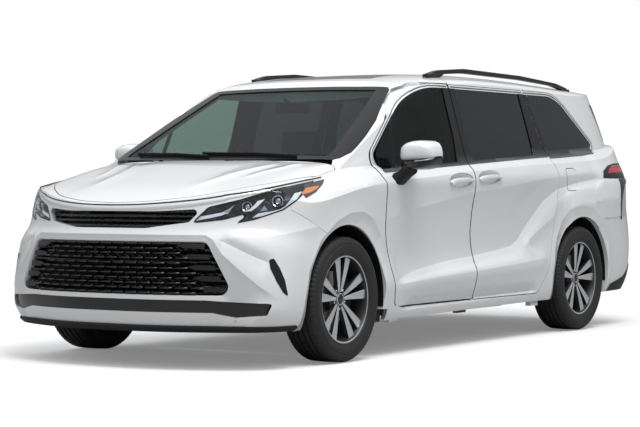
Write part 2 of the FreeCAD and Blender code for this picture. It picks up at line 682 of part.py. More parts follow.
side_region = prism_plan(side_plan, 100, ROOF + 60)
door_hole = prism_side(grown(DOOR_LINE, GAP), 300, HALF + 60).common(side_band(DOOR_INNER - GAP))
fender_left = fender_left.cut(door_hole)
side_left = walls.common(side_region).cut([door_hole, prism_side(grown(SLIDE_LINE, GAP), 300, HALF + 60),
                                           fender_prism, bumper_prism, rear_prism, gate_hole, quarter_opening,
                                           tail_prism])


def with_handle(door, front_x, level, slope):
    """The door with an oval cup for the fingers and a grip across it."""
    long, high, deep = size("cupLength") / 2, size("cupHeight") / 2, size("cupDepth")
    centre = vec(front_x - long, HALF - 24, level)
    form = FreeCAD.Matrix()
    form.scale(vec(long, deep, high))
    cup = Part.makeSphere(1.0).transformGeometry(form)
    cup.rotate(vec(0, 0, 0), vec(0, 1, 0), slope)
    cup.translate(centre)
    grip_line = [(-long + 6, -14, 8), (-long + 6, 4, 8), (0, 14, 200), (long - 6, 4, 8), (long - 6, -14, 8),
                 (0, -12, 200)]
    lean = math.tan(math.radians(slope))
    grip_line = [(centre.x + a, centre.z + b - a * lean - 6, r) for a, b, r in grip_line]
    grip_room = prism_side(grip_line, 800, HALF + 60)
    grip = lower_body(-16.0).cut(lower_body(-2.0)).common(grip_room)
    ends = [box(centre.x + a - 12, centre.x + a + 12, 800, HALF + 60, 0, ROOF) for a in (16 - long, long - 16)]
    posts = [lower_body(-6.0).cut(lower_body(24.0)).common(grip_room).common(end) for end in ends]
    return joined([door.cut(cup), grip] + posts)


def chunks(shape, least):
    """The solids of a shape that are larger than thin leftovers of a cut."""
    return [solid for solid in shape.Solids if solid.Volume > least]


# Inner pillars and roof rails, a folded ring that stands clear of the doors.
LINER_CLEAR = 8.0
liner = cabin_space(LINER_CLEAR).cut(cabin_space(LINER_CLEAR + 34)).common(side_half)
liner = liner.cut([arch(FRONT_AXLE, 300, HALF, 22), arch(REAR_AXLE, 300, HALF, 22)])
pillar_b = liner.common(box(PILLAR_B - 55, PILLAR_B + 55, 300, HALF, 200, ROOF))
pillar_c = liner.common(box(SLIDE_REAR + 90, SLIDE_REAR + 200, 300, HALF, 200, ROOF))
roof_rail_inner = liner.common(box(SLIDE_REAR + 90, FRONT_AXLE - 1250, 560, HALF, 1600, ROOF))
hinge_pillar = liner.common(box(DOOR_FRONT - 90, FRONT_AXLE - 320, 700, HALF, 200, 1090))
foot_a = box(DOOR_FRONT - 110, DOOR_FRONT - 30, HALF - 160, HALF - 110, 236, SILL_TOP)
foot_b = box(PILLAR_B - 55, PILLAR_B + 55, HALF - 160, HALF - 110, 236, SILL_TOP)
foot_c = box(SLIDE_REAR + 100, SLIDE_REAR + 190, HALF - 160, HALF - 110, 245, SILL_TOP)
side_parts = chunks(side_left, 1.0e6)
FUEL_LINE = [(REAR_AXLE + 240, 968, 30), (REAR_AXLE + 240, 1128, 36), (REAR_AXLE + 84, 1132, 36),
             (REAR_AXLE + 84, 972, 30)]
fuel_skin = outer.cut(lower_body(9.0))
fuel_door = fuel_skin.common(prism_side(grown(FUEL_LINE, -GAP), 600, HALF + 60))
header_bridge = box(PILLAR_B + 30, PILLAR_B + 250, ROOF_DITCH + 2, ROOF_DITCH + 16, 1600, ROOF - 62)
fuel_pocket = prism_side(FUEL_LINE, 600, HALF + 60).cut(lower_body(60.0))
jack_pads = [box(x - 50, x + 50, HALF - 112, HALF - 72, 200, 250) for x in (DOOR_FRONT - 160, REAR_AXLE + 620)]
STOP_PLANE = HALF - 116
STOP_SPOTS = (PILLAR_B + 30, PILLAR_B - 34)
door_stops = [box(x - 12, x + 12, STOP_PLANE - 12, STOP_PLANE, 720, 760) for x in STOP_SPOTS]
FUEL_STOP = (REAR_AXLE + 162, HALF - 42, 1050)
fuel_stop = box(FUEL_STOP[0] - 8, FUEL_STOP[0] + 8, HALF - 90, FUEL_STOP[1], FUEL_STOP[2] - 8, FUEL_STOP[2] + 8)
fuel_peg = box(FUEL_STOP[0] - 8, FUEL_STOP[0] + 8, FUEL_STOP[1], HALF - 14, FUEL_STOP[2] - 8, FUEL_STOP[2] + 8)
fuel_door = joined([fuel_door, fuel_peg])
side_left = joined(side_parts + door_stops + [pillar_b, pillar_c, roof_rail_inner, foot_a, foot_b, foot_c, hinge_pillar]
                   + jack_pads + [header_bridge])
side_right = mirror_y(side_left)
side_left = joined([side_left.cut(fuel_pocket), fuel_stop])

# Floor, firewall and wheel houses.
HOOD_STOP = 1040.0
RISE_X = REAR_AXLE + 470
REAR_FLOOR = FLOOR + 170
FLOOR_LOW = FLOOR - size("floorThickness")
IN_HALF = HALF - 120
floor_front = box(RISE_X - 30, FRONT_AXLE - 307, -IN_HALF, IN_HALF, FLOOR_LOW, FLOOR)
floor_riser = box(RISE_X - 30, RISE_X, -IN_HALF, IN_HALF, FLOOR_LOW, REAR_FLOOR)
floor_rear = box(TAIL + 134, RISE_X, -IN_HALF, IN_HALF, REAR_FLOOR - size("floorThickness"), REAR_FLOOR)
floor_rear = floor_rear.common(cabin)
firewall = box(FRONT_AXLE - 335, FRONT_AXLE - 307, -790, 790, FLOOR_LOW, 1050)


def ring(axle, radius, thickness, y_low, y_high):
    wall = Part.makeCylinder(radius + thickness, y_high - y_low, vec(axle, y_low, HUB), vec(0, 1, 0))
    return wall.cut(Part.makeCylinder(radius, y_high - y_low, vec(axle, y_low, HUB), vec(0, 1, 0)))


well_radius = size("archRadius")
rear_house = ring(REAR_AXLE, well_radius, 14, REAR_WELL_INNER - 10, IN_HALF)
rear_house = rear_house.fuse(Part.makeCylinder(well_radius + 2, 10, vec(REAR_AXLE, REAR_WELL_INNER - 10, HUB),
                                               vec(0, 1, 0)))
rear_house = rear_house.common(box(TAIL, FRONT_AXLE, 0, HALF, FLOOR_LOW + 100, 1200))
apron = box(FRONT_AXLE - 335, FRONT_AXLE + 470, FRONT_WELL_INNER - 20, FRONT_WELL_INNER - 8, 420, 925)
tower_top = box(FRONT_AXLE - 110, FRONT_AXLE + 100, FRONT_WELL_INNER - 20, 745, 913, 925)
frame_rail = box(FRONT_AXLE - 335, FRONT_AXLE + 715, 440, 522, 300, 420)
cross_beam = box(FRONT_AXLE + 680, FRONT_AXLE + 715, -522, 522, 300, 420)
floor_pan = joined([floor_front, floor_riser, floor_rear, firewall, cross_beam])
front_well_cut = Part.makeCylinder(well_radius + 8, 400, vec(FRONT_AXLE, FRONT_WELL_INNER, HUB), vec(0, 1, 0))
floor_pan = floor_pan.cut([front_well_cut, mirror_y(front_well_cut), wells_both])
hood_stop = box(FRONT_AXLE - 15, FRONT_AXLE + 15, 705, 735, 920, HOOD_STOP)
floor_pan = joined([floor_pan, hood_stop, mirror_y(hood_stop), rear_house, mirror_y(rear_house), apron, mirror_y(apron), tower_top,
                    mirror_y(tower_top), frame_rail, mirror_y(frame_rail)])
floor_pan = floor_pan.cut([side_left, side_right])

# Wheel arch liners.
liner_ring = size("linerThickness")
front_liner = ring(FRONT_AXLE, well_radius - liner_ring, liner_ring, 748, HALF - 38)
front_liner = front_liner.common(box(FRONT_AXLE - 500, FRONT_AXLE + 500, 700, HALF, 300, 900))
rear_liner = ring(REAR_AXLE, well_radius - liner_ring, liner_ring, REAR_WELL_INNER, HALF - 38)
rear_liner = rear_liner.common(box(REAR_AXLE - 500, REAR_AXLE + 500, 600, HALF, 330, 900))
arch_liners = Part.makeCompound([front_liner, mirror_y(front_liner), rear_liner, mirror_y(rear_liner)])

# Headlamps and tail lamps.
headlamps = both(chunks(lamp_left, 1.0e6)[0])
tail_lamp = walls.common(tail_prism).cut(gate_hole).common(box(TAIL - 50, REAR_AXLE, 600, HALF + 50, 900, 1300))
tail_lamps = both(chunks(tail_lamp, 3.0e5)[0])

# Cowl below the windscreen.
cowl_top = under_surface(HOOD_PROFILE, HOOD_DROP, 16.0)
cowl_low = under_surface(HOOD_PROFILE, HOOD_DROP, 40.0)
cowl_panel = cowl_prism.common(screen_room).common(cowl_top).cut([cowl_low, hood_gap])

# Roof rails: a bar on two feet along each roof edge.
RAIL_Y = 664.0
rail_line = [(FRONT_AXLE - 1360, ROOF - 36), (FRONT_AXLE - 1560, ROOF + 10), (FRONT_AXLE - 1900, ROOF + 34),
             (FRONT_AXLE - 2700, ROOF + 22), (FRONT_AXLE - 3250, ROOF - 8), (FRONT_AXLE - 3480, ROOF - 46)]
rail_under = [(FRONT_AXLE - 3360, ROOF - 50), (FRONT_AXLE - 3180, ROOF - 26), (FRONT_AXLE - 2700, ROOF - 6),
              (FRONT_AXLE - 1900, ROOF + 4), (FRONT_AXLE - 1640, ROOF - 12), (FRONT_AXLE - 1560, ROOF - 48)]
rail_face = rounded_wire([(a, b, 500) for a, b in rail_line] + [(a, b, 40) for a, b in rail_under],
                         lambda a, b: vec(a, RAIL_Y - size("railWidth") / 2, b))
rail_bar = Part.Face(rail_face).extrude(vec(0, size("railWidth"), 0))
rail_feet = [box(FRONT_AXLE - 1560, FRONT_AXLE - 1420, RAIL_Y - 17, RAIL_Y + 17, ROOF - 90, ROOF - 20),
             box(FRONT_AXLE - 3470, FRONT_AXLE - 3340, RAIL_Y - 17, RAIL_Y + 17, ROOF - 110, ROOF - 44)]
rail_left = joined([rail_bar] + rail_feet).cut(roof_solid)
roof_rails = both(chunks(rail_left, 1.0e5)[0])


# Parametric pieces: primitives and revolved bodies bound to the sheet.

def derive(alias, formula):
    """A further cell of the sheet, worked out from the others."""
    row = len(SIZES) + 2 + len(DERIVED)
    DERIVED.append(alias)
    sheet.set("A%d" % row, alias)
    sheet.set("B%d" % row, "=" + formula)
    sheet.setAlias("B%d" % row, alias)
    doc.recompute()
    return alias


DERIVED = []
NODES = {}


def cell(alias):
    return "sizes." + alias


def turned(name, profile):
    """A body of revolution about its own X axis; the profile lists aliases of axial place and radius."""
    body = doc.addObject("PartDesign::Body", name)
    sketch = body.newObject("Sketcher::SketchObject", name + "_profile")
    plane = [f for f in body.Origin.OriginFeatures if f.Role == "XY_Plane"][0]
    sketch.AttachmentSupport = [(plane, "")]
    sketch.MapMode = "FlatFace"
    count = len(profile)
    spots = [vec(size(a), size(r), 0) for a, r in profile]
    for k in range(count):
        sketch.addGeometry(Part.LineSegment(spots[k], spots[(k + 1) % count]), False)
    for k in range(count):
        sketch.addConstraint(Sketcher.Constraint("Coincident", k, 2, (k + 1) % count, 1))
    for k, (axial, radial) in enumerate(profile):
        for kind, alias, value in (("DistanceX", axial, spots[k].x), ("DistanceY", radial, spots[k].y)):
            index = sketch.addConstraint(Sketcher.Constraint(kind, -1, 1, k, 1, value))
            sketch.setExpression("Constraints[%d]" % index, cell(alias))
    revolution = body.newObject("PartDesign::Revolution", name + "_turn")
    revolution.Profile = sketch
    revolution.ReferenceAxis = (sketch, ["H_Axis"])
    revolution.Angle = 360.0
    doc.recompute()
    return body


def placed(shape, x, y, z, turn_z=90.0):
    """A copy of a body turned so that its own X axis points along Y, set at a place."""
    copy = shape.copy()
    copy.Placement = FreeCAD.Placement(vec(x, y, z), FreeCAD.Rotation(vec(0, 0, 1), turn_z))
    return copy


derive("tyreHalf", "tyreWidth / 2")
derive("tyreHalfNegative", "-tyreWidth / 2")
derive("treadEdge", "tyreWidth / 2 - 26")
derive("treadEdgeNegative", "26 - tyreWidth / 2")
derive("shoulderRadius", "tyreRadius - 12")
derive("sidewallRadius", "(tyreRadius + rimRadius) / 2 - 4")
derive("beadHalf", "rimSeatWidth / 2")
derive("beadHalfNegative", "-rimSeatWidth / 2")
derive("shoulderHalf", "tyreWidth / 2 - 8")
derive("shoulderHalfNegative", "8 - tyreWidth / 2")
tyre_body = turned("tyre_form", [
    ("treadEdge", "tyreRadius"), ("shoulderHalf", "shoulderRadius"), ("tyreHalf", "sidewallRadius"),
    ("beadHalf", "rimRadius"), ("beadHalfNegative", "rimRadius"), ("tyreHalfNegative", "sidewallRadius"),
    ("shoulderHalfNegative", "shoulderRadius"), ("treadEdgeNegative", "tyreRadius")])
tyre = tyre_body.Shape

derive("barrelRadius", "rimRadius - 13")
barrel_body = turned("barrel_form", [
    ("beadHalf", "rimRadius"), ("beadHalf", "barrelRadius"), ("beadHalfNegative", "barrelRadius"),
    ("beadHalfNegative", "rimRadius")])
rim_barrel = barrel_body.Shape
SPOKE_FRONT = size("rimSeatWidth") / 2 - 16


def spoke(angle):
    """One of the paired spokes, from the hub out to the barrel, dished towards the hub."""
    inner, outer_r = size("hubRadius") + 20, size("rimRadius") - 8
    front_wire = Part.makePolygon([
        vec(SPOKE_FRONT - 34, -13, inner), vec(SPOKE_FRONT - 34, 13, inner), vec(SPOKE_FRONT, 17, outer_r),
        vec(SPOKE_FRONT, -17, outer_r), vec(SPOKE_FRONT - 34, -13, inner)])
    back_wire = Part.makePolygon([
        vec(SPOKE_FRONT - 62, -17, inner), vec(SPOKE_FRONT - 62, 17, inner), vec(SPOKE_FRONT - 40, 12, outer_r),
        vec(SPOKE_FRONT - 40, -12, outer_r), vec(SPOKE_FRONT - 62, -17, inner)])
    solid = Part.makeLoft([front_wire, back_wire], True, True)
    solid.rotate(vec(0, 0, 0), vec(1, 0, 0), angle)
    return solid


hub_disc = Part.makeCylinder(size("hubRadius") + 42, 30, vec(SPOKE_FRONT - 64, 0, 0), vec(1, 0, 0))
hub_cap = Part.makeCylinder(size("hubRadius"), 14, vec(SPOKE_FRONT - 36, 0, 0), vec(1, 0, 0))
spokes = []
for pair in range(int(size("spokePairs"))):
    for side in (-12.0, 12.0):
        spokes.append(spoke(360.0 / size("spokePairs") * pair + side))
rim = joined([rim_barrel, hub_disc, hub_cap] + spokes)
rim = rim.common(Part.makeCylinder(size("rimRadius"), 600, vec(-300, 0, 0), vec(1, 0, 0)))
DISC_BACK = -24.0
disc = Part.makeCylinder(size("discRadius"), size("discThickness"), vec(DISC_BACK, 0, 0), vec(1, 0, 0))
disc_hat = Part.makeCylinder(72, SPOKE_FRONT - 62 - DISC_BACK, vec(DISC_BACK, 0, 0), vec(1, 0, 0))
wheel = joined([rim, disc, disc_hat])

# Steering pivot: the line through the lower joint and the top of the strut.
PIVOT_LOW = vec(FRONT_AXLE + 8, size("frontTrack") / 2 - 53, 240)
PIVOT_TOP = vec(FRONT_AXLE - 34, size("frontTrack") / 2 - 208, 830)
PIVOT = (PIVOT_TOP - PIVOT_LOW).normalize()
BALL = 26.0


def on_pivot(level):
    return PIVOT_LOW + PIVOT * ((level - PIVOT_LOW.z) / PIVOT.z)


FRONT_Y = size("frontTrack") / 2
REAR_Y = size("rearTrack") / 2
carrier = box(FRONT_AXLE - 42, FRONT_AXLE + 42, FRONT_Y - 86, FRONT_Y - 38, HUB - 130, HUB + 120)
hub_stub = Part.makeCylinder(34, 38 + DISC_BACK, vec(FRONT_AXLE, FRONT_Y - 38, HUB), vec(0, 1, 0))
strut_tube = Part.makeCylinder(25, (on_pivot(770) - on_pivot(430)).Length, on_pivot(430), PIVOT)
spring = Part.makeCylinder(54, (on_pivot(892) - on_pivot(762)).Length, on_pivot(762), PIVOT)
strut_clamp = box(FRONT_AXLE - 34, FRONT_AXLE + 30, FRONT_Y - 140, FRONT_Y - 60, HUB + 70, HUB + 118)
ball_joint = Part.makeSphere(BALL, PIVOT_LOW)
pad_reach = size("discRadius")
caliper = Part.makeCylinder(pad_reach + 34, 68, vec(FRONT_AXLE, FRONT_Y - 54, HUB), vec(0, 1, 0))
caliper = caliper.cut(Part.makeCylinder(pad_reach - 52, 68, vec(FRONT_AXLE, FRONT_Y - 54, HUB), vec(0, 1, 0)))
caliper = caliper.common(box(FRONT_AXLE - 210, FRONT_AXLE - 40, FRONT_Y - 60, FRONT_Y + 60, HUB - 70, HUB + 110))
disc_room = Part.makeCylinder(pad_reach + 8, size("discThickness") + 8, vec(FRONT_AXLE, FRONT_Y + DISC_BACK - 5, HUB),
                             vec(0, 1, 0))
caliper = caliper.cut(disc_room)
caliper_arm = box(FRONT_AXLE - 150, FRONT_AXLE - 40, FRONT_Y - 60, FRONT_Y - 36, HUB - 10, HUB + 60)
knuckle_left = joined([carrier, strut_tube, spring, strut_clamp, ball_joint, caliper_arm, caliper, hub_stub])

# Front subframe with lower arms, and the rear beam axle.
subframe = joined([
    box(FRONT_AXLE - 200, FRONT_AXLE + 240, -420, 420, 262, 300),
    box(FRONT_AXLE - 150, FRONT_AXLE - 100, -524, 524, 262, 300),
    box(FRONT_AXLE + 180, FRONT_AXLE + 230, -524, 524, 262, 300)])
arm_plan = sharp([(FRONT_AXLE - 14, FRONT_Y - 52), (FRONT_AXLE + 30, FRONT_Y - 52), (FRONT_AXLE + 44, 620),
                  (FRONT_AXLE + 150, 430), (FRONT_AXLE - 140, 430), (FRONT_AXLE - 30, 620)])
lower_arm = prism_plan(arm_plan, HUB - 172, PIVOT_LOW.z - BALL).fuse(
    box(FRONT_AXLE - 140, FRONT_AXLE + 150, 380, 430, HUB - 172, 270))
front_subframe = joined([subframe, lower_arm, mirror_y(lower_arm)])
beam = Part.makeCylinder(38, 2 * 640, vec(REAR_AXLE + 60, -640, HUB - 40), vec(0, 1, 0))
trailing_arm = box(REAR_AXLE + 20, REAR_AXLE + 430, 590, 650, HUB - 80, HUB - 10)
arm_mount = box(REAR_AXLE + 380, REAR_AXLE + 430, 590, 650, HUB - 80, FLOOR_LOW)
spindle_plate = box(REAR_AXLE - 60, REAR_AXLE + 80, 640, 676, HUB - 80, HUB + 60)
spindle = Part.makeCylinder(30, REAR_Y + DISC_BACK - 660, vec(REAR_AXLE, 660, HUB), vec(0, 1, 0))
rear_spring = Part.makeCylinder(52, REAR_FLOOR - 36 - HUB + 40, vec(REAR_AXLE + 60, 560, HUB - 40), vec(0, 0, 1))
rear_axle = joined([beam] + [f(g) for g in (trailing_arm, spindle_plate, spindle, rear_spring, arm_mount)
                             for f in (lambda q: q, mirror_y)])

# Engine, exhaust and tank.
engine = doc.addObject("Part::Box", "engine_block")
engine.setExpression("Length", cell("engineLength"))
engine.setExpression("Width", cell("engineWidth"))
engine.setExpression("Height", cell("engineHeight"))
doc.recompute()
engine.Placement = FreeCAD.Placement(vec(FRONT_AXLE - 190, -size("engineWidth") / 2, 300), FreeCAD.Rotation())
muffler = Part.makeCylinder(95, 560, vec(TAIL + 330, -600, 365), vec(0, 1, 0))
hanger = box(TAIL + 310, TAIL + 350, -420, -380, 440, REAR_FLOOR - size("floorThickness"))
exhaust = joined([muffler, hanger, Part.makeCylinder(26, 1400, vec(TAIL + 330, -200, 254), vec(1, 0, 0))])
fuel_tank = box(REAR_AXLE + 520, REAR_AXLE + 1240, -120, 620, FLOOR_LOW - 120, FLOOR_LOW)

# Seats: cushion, backrest and headrest in one form.


def seat(front_x, centre_y, base_z, width, back_lean=120.0):
    """A seat facing forward whose cushion starts at front_x."""
    depth = size("seatDepth")
    tall = size("seatBack")
    low, high = centre_y - width / 2, centre_y + width / 2
    cushion = [(front_x, base_z + 150, 40), (front_x + 6, base_z + 310, 50), (front_x - depth, base_z + 268, 30),
               (front_x - depth, base_z + 150, 0)]
    back_foot = front_x - depth + 60
    backrest = [(back_foot, base_z + 200, 30), (back_foot - back_lean * 0.9, base_z + 200 + tall, 50),
                (back_foot - back_lean * 0.9 - 90, base_z + 200 + tall, 50), (back_foot - 160, base_z + 200, 30)]
    top = back_foot - back_lean * 0.9 - 20
    headrest = [(top + 20, base_z + 215 + tall, 30), (top - 4, base_z + 390 + tall, 30),
                (top - 84, base_z + 390 + tall, 40), (top - 74, base_z + 215 + tall, 30)]
    posts = [Part.makeCylinder(7, 60, vec(top - 34, centre_y + k, base_z + 180 + tall), vec(0, 0, 1))
             for k in (-50, 50)]
    base = box(front_x - depth + 40, front_x - 60, low + 60, high - 60, base_z, base_z + 160)
    head = prism_side(headrest, centre_y - 130, centre_y + 130)
    return joined([prism_side(cushion, low, high), prism_side(backrest, low + 10, high - 10), head, base] + posts)


SEAT_Y = 370.0
front_seat = seat(DOOR_FRONT - 520, SEAT_Y, FLOOR, size("seatWidth"))
middle_seat = seat(PILLAR_B - 340, SEAT_Y, FLOOR, size("seatWidth"))
bench = seat(REAR_AXLE + 330, 0, REAR_FLOOR, 1180)
front_seats = both(front_seat)
rear_seats = Part.makeCompound([middle_seat, mirror_y(middle_seat), bench])

# Dashboard with centre console.
DASH_SIDE = [(FRONT_AXLE - 336, 620, 0), (FRONT_AXLE - 336, 1046, 30), (FRONT_AXLE - 560, 1040, 60),
             (FRONT_AXLE - 740, 985, 60), (FRONT_AXLE - 770, 880, 50), (FRONT_AXLE - 640, 760, 80),
             (FRONT_AXLE - 560, 620, 40)]
dash = prism_side(DASH_SIDE, -770, 770)
console = box(FRONT_AXLE - 1420, FRONT_AXLE - 560, -85, 85, FLOOR, 690)
dashboard = joined([dash, console])
dashboard = dashboard.cut([front_well_cut, mirror_y(front_well_cut), side_left, side_right])
WHEEL_SPOT = vec(FRONT_AXLE - 900, SEAT_Y, 975)
COLUMN_END = 140.0
column_lean = math.radians(size("columnAngle"))
column_line = vec(math.cos(column_lean), 0, -math.sin(column_lean))
column_boss = Part.makeCylinder(30, 70, WHEEL_SPOT + column_line * COLUMN_END, column_line)
dashboard = joined([dashboard, column_boss])
steer_rim = Part.makeTorus(size("wheelDiameter") / 2 - 15, 15, vec(0, 0, 0), vec(1, 0, 0))
steer_hub = Part.makeCylinder(62, 40, vec(0, 0, 0), vec(1, 0, 0))
steer_column = Part.makeCylinder(22, COLUMN_END - 30, vec(30, 0, 0), vec(1, 0, 0))
steer_bars = [Part.makeBox(14, 150, 34, vec(4, 30, -22)), Part.makeBox(14, 150, 34, vec(4, -180, -22)),
              Part.makeBox(14, 34, 150, vec(4, -17, -180))]
steering_wheel = joined([steer_rim, steer_hub, steer_column] + steer_bars)
steering_wheel.Placement = FreeCAD.Placement(WHEEL_SPOT, FreeCAD.Rotation(vec(0, 1, 0), size("columnAngle")))

# Door mirrors.
MIRROR_X = DOOR_FRONT - 190
mirror_shell = [(MIRROR_X + 40, HALF + 24, 60), (MIRROR_X + 70, HALF + 170, 90), (MIRROR_X - 20, HALF + 196, 40),
                (MIRROR_X - 66, HALF + 180, 20), (MIRROR_X - 76, HALF + 30, 20)]
mirror_head = prism_plan(mirror_shell, 1120, 1262)
mirror_arm = prism_plan(sharp([(MIRROR_X + 20, HALF - 64), (MIRROR_X + 30, HALF + 70), (MIRROR_X - 50, HALF + 70),
                               (MIRROR_X - 70, HALF - 64)]), 1040, 1122).cut(outer)
door_mirror_left = joined([mirror_head, chunks(mirror_arm, 1.0e4)[0]])


def node(name, shape):
    """Adds one sub-part of the van under its own label."""
    feature = doc.addObject("Part::Feature", name)
    feature.Label = name
    feature.Shape = shape
    feature.Placement = shape.Placement
    NODES[name] = feature


def node_pair(name, shape):
    node(name + "_left", shape)
    node(name + "_right", mirror_y(shape))


def wheel_pair(name, axle, half_track):
    for suffix, side, turn in (("_left", 1, 90.0), ("_right", -1, -90.0)):
        node("tyre_" + name + suffix, placed(tyre, axle, side * half_track, HUB, turn))
        node("rim_" + name + suffix, placed(wheel, axle, side * half_track, HUB, turn))


node("floor_pan", floor_pan)
node("body_side_left", side_left)
node("body_side_right", side_right)
node("roof_panel", roof_panel)
node("roof_window", roof_window)
node("roof_rails", roof_rails)
node("front_fenders", both(chunks(fender_left, 1.0e6)[0]))
node("arch_liners", arch_liners)
node("front_bumper", front_bumper)
node("rear_bumper", rear_bumper)
node("upper_grille", upper_grille)
node("lower_grille", lower_grille)
node("headlamps", headlamps)
node("tail_lamps", tail_lamps)
node("windscreen", windscreen)
node("cowl_panel", cowl_panel)
slide_left = with_handle(slide_left, PILLAR_B - 40, 1066, 3.0)
slide_left = joined([slide_left, box(STOP_SPOTS[1] - 12, STOP_SPOTS[1] + 12, STOP_PLANE, STOP_PLANE + 14, 720, 760)])
node_pair("sliding_door", slide_left)
node("side_glass", side_glass)
hood_peg = box(FRONT_AXLE - 15, FRONT_AXLE + 15, 705, 735, HOOD_STOP, 1100)
hood = joined([hood, hood_peg, mirror_y(hood_peg)])
node("hood", hood)
door_left = with_handle(door_left, PILLAR_B + 336, 1046, 3.0)
door_left = joined([door_left, box(STOP_SPOTS[0] - 12, STOP_SPOTS[0] + 12, STOP_PLANE, STOP_PLANE + 14, 720, 760)])
node_pair("front_door", door_left)
node_pair("front_door_glass", door_glass_left)
node_pair("door_mirror", door_mirror_left)
gate_peg = box(TAIL + 79, TAIL + 95, 300, 340, GATE_STOP, 600)
tailgate = joined([tailgate, gate_peg, mirror_y(gate_peg)])
node("tailgate", tailgate)
node("rear_glass", rear_glass)
node("fuel_door", fuel_door)
node("steering_wheel", steering_wheel)
node_pair("knuckle", knuckle_left)
wheel_pair("front", FRONT_AXLE, FRONT_Y)
wheel_pair("rear", REAR_AXLE, REAR_Y)
node("front_subframe", front_subframe)
node("rear_axle", rear_axle)
node("exhaust", exhaust)
node("fuel_tank", fuel_tank)
node("front_seats", front_seats)
node("rear_seats", rear_seats)
node("dashboard", dashboard)
engine.Label = "engine_block"
NODES["engine_block"] = engine

doc.recompute()
for item in doc.Objects:
    if "Invalid" in item.State or "Error" in item.State:
        raise RuntimeError("object %s failed: %s" % (item.Label, item.State))
for name, feature in NODES.items():
    shape = feature.Shape
    if shape.isNull() or not shape.isValid():
        raise RuntimeError("sub-part %s has no valid shape" % name)
for name, feature in NODES.items():
    feature.Shape.exportStep("parts/%s.step" % name)
    solids = [round(solid.Volume / 1e6, 2) for solid in feature.Shape.Solids]
    print(name, len(feature.Shape.Faces), solids)
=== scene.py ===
import json
import logging
import math
from dataclasses import dataclass, field
from enum import Enum
from typing import Callable, Optional, Sequence

import bmesh
import bpy
import numpy as np
from mathutils import Matrix, Vector
from mathutils.bvhtree import BVHTree

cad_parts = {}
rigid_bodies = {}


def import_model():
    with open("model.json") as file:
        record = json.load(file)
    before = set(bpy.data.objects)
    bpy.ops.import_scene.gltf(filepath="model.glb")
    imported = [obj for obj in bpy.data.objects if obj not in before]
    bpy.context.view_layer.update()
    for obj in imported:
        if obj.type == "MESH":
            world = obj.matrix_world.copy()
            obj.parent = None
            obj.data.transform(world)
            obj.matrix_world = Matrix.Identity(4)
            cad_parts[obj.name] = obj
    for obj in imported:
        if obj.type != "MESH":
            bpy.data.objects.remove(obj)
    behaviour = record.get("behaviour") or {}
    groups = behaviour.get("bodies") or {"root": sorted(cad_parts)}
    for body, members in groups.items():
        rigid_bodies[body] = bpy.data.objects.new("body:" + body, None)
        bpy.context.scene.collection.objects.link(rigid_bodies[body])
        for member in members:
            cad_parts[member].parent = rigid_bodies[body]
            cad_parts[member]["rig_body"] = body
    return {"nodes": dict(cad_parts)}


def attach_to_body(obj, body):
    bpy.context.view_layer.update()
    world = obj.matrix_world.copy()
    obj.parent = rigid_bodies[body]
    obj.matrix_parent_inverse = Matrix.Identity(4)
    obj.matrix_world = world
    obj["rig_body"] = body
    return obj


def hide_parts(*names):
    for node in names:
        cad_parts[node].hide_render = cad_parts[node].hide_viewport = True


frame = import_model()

logging.basicConfig(level=logging.INFO, format="%(message)s")
log = logging.getLogger("minivan")

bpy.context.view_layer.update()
MM = 0.001

# Places shared by the panels, in metres.
LENGTH = 5.174
NOSE = LENGTH / 2
HALF = 0.997
FRONT_AXLE = NOSE - 0.990
REAR_AXLE = FRONT_AXLE - 3.060
HUB = 0.362
FRONT_Y = 0.863
REAR_Y = 0.867
DOOR_FRONT = FRONT_AXLE - 0.440
PILLAR_B = FRONT_AXLE - 1.533

# A height above the van, the slope of a ray that falls, and the distance that welds corners.
SKY = 5.0
STEEP = -0.9
WELD = 2e-5

Point2 = tuple[float, float]


class Look(Enum):
    """The direction along which a flat outline is laid on the body."""

    SIDE = "side"
    FRONT = "front"
    TOP = "top"
    CORNER = "corner"


# The smooth skins of the body.


def clamped_basis(count: int, params: np.ndarray) -> np.ndarray:
    """Cubic clamped B-spline weights.

    Args:
        count: number of control points.
        params: parameter values between 0 and count - 3.

    Returns:
        An array of len(params) rows and count columns.
    """
    knots = np.concatenate([[0.0] * 3, np.arange(count - 2, dtype=float), [float(count - 3)] * 3])
    span_top = count - 3
    t = np.clip(params, 0.0, span_top - 1e-9)
    weights = np.zeros((len(t), len(knots) - 1))
    for k in range(len(knots) - 1):
        weights[:, k] = (t >= knots[k]) & (t < knots[k + 1])
    for degree in (1, 2, 3):
        fresh = np.zeros((len(t), weights.shape[1] - 1))
        for k in range(fresh.shape[1]):
            low = knots[k + degree] - knots[k]
            high = knots[k + degree + 1] - knots[k + 1]
            if low > 0:
                fresh[:, k] += (t - knots[k]) / low * weights[:, k]
            if high > 0:
                fresh[:, k] += (knots[k + degree + 1] - t) / high * weights[:, k + 1]
        weights = fresh
    return weights[:, :count]


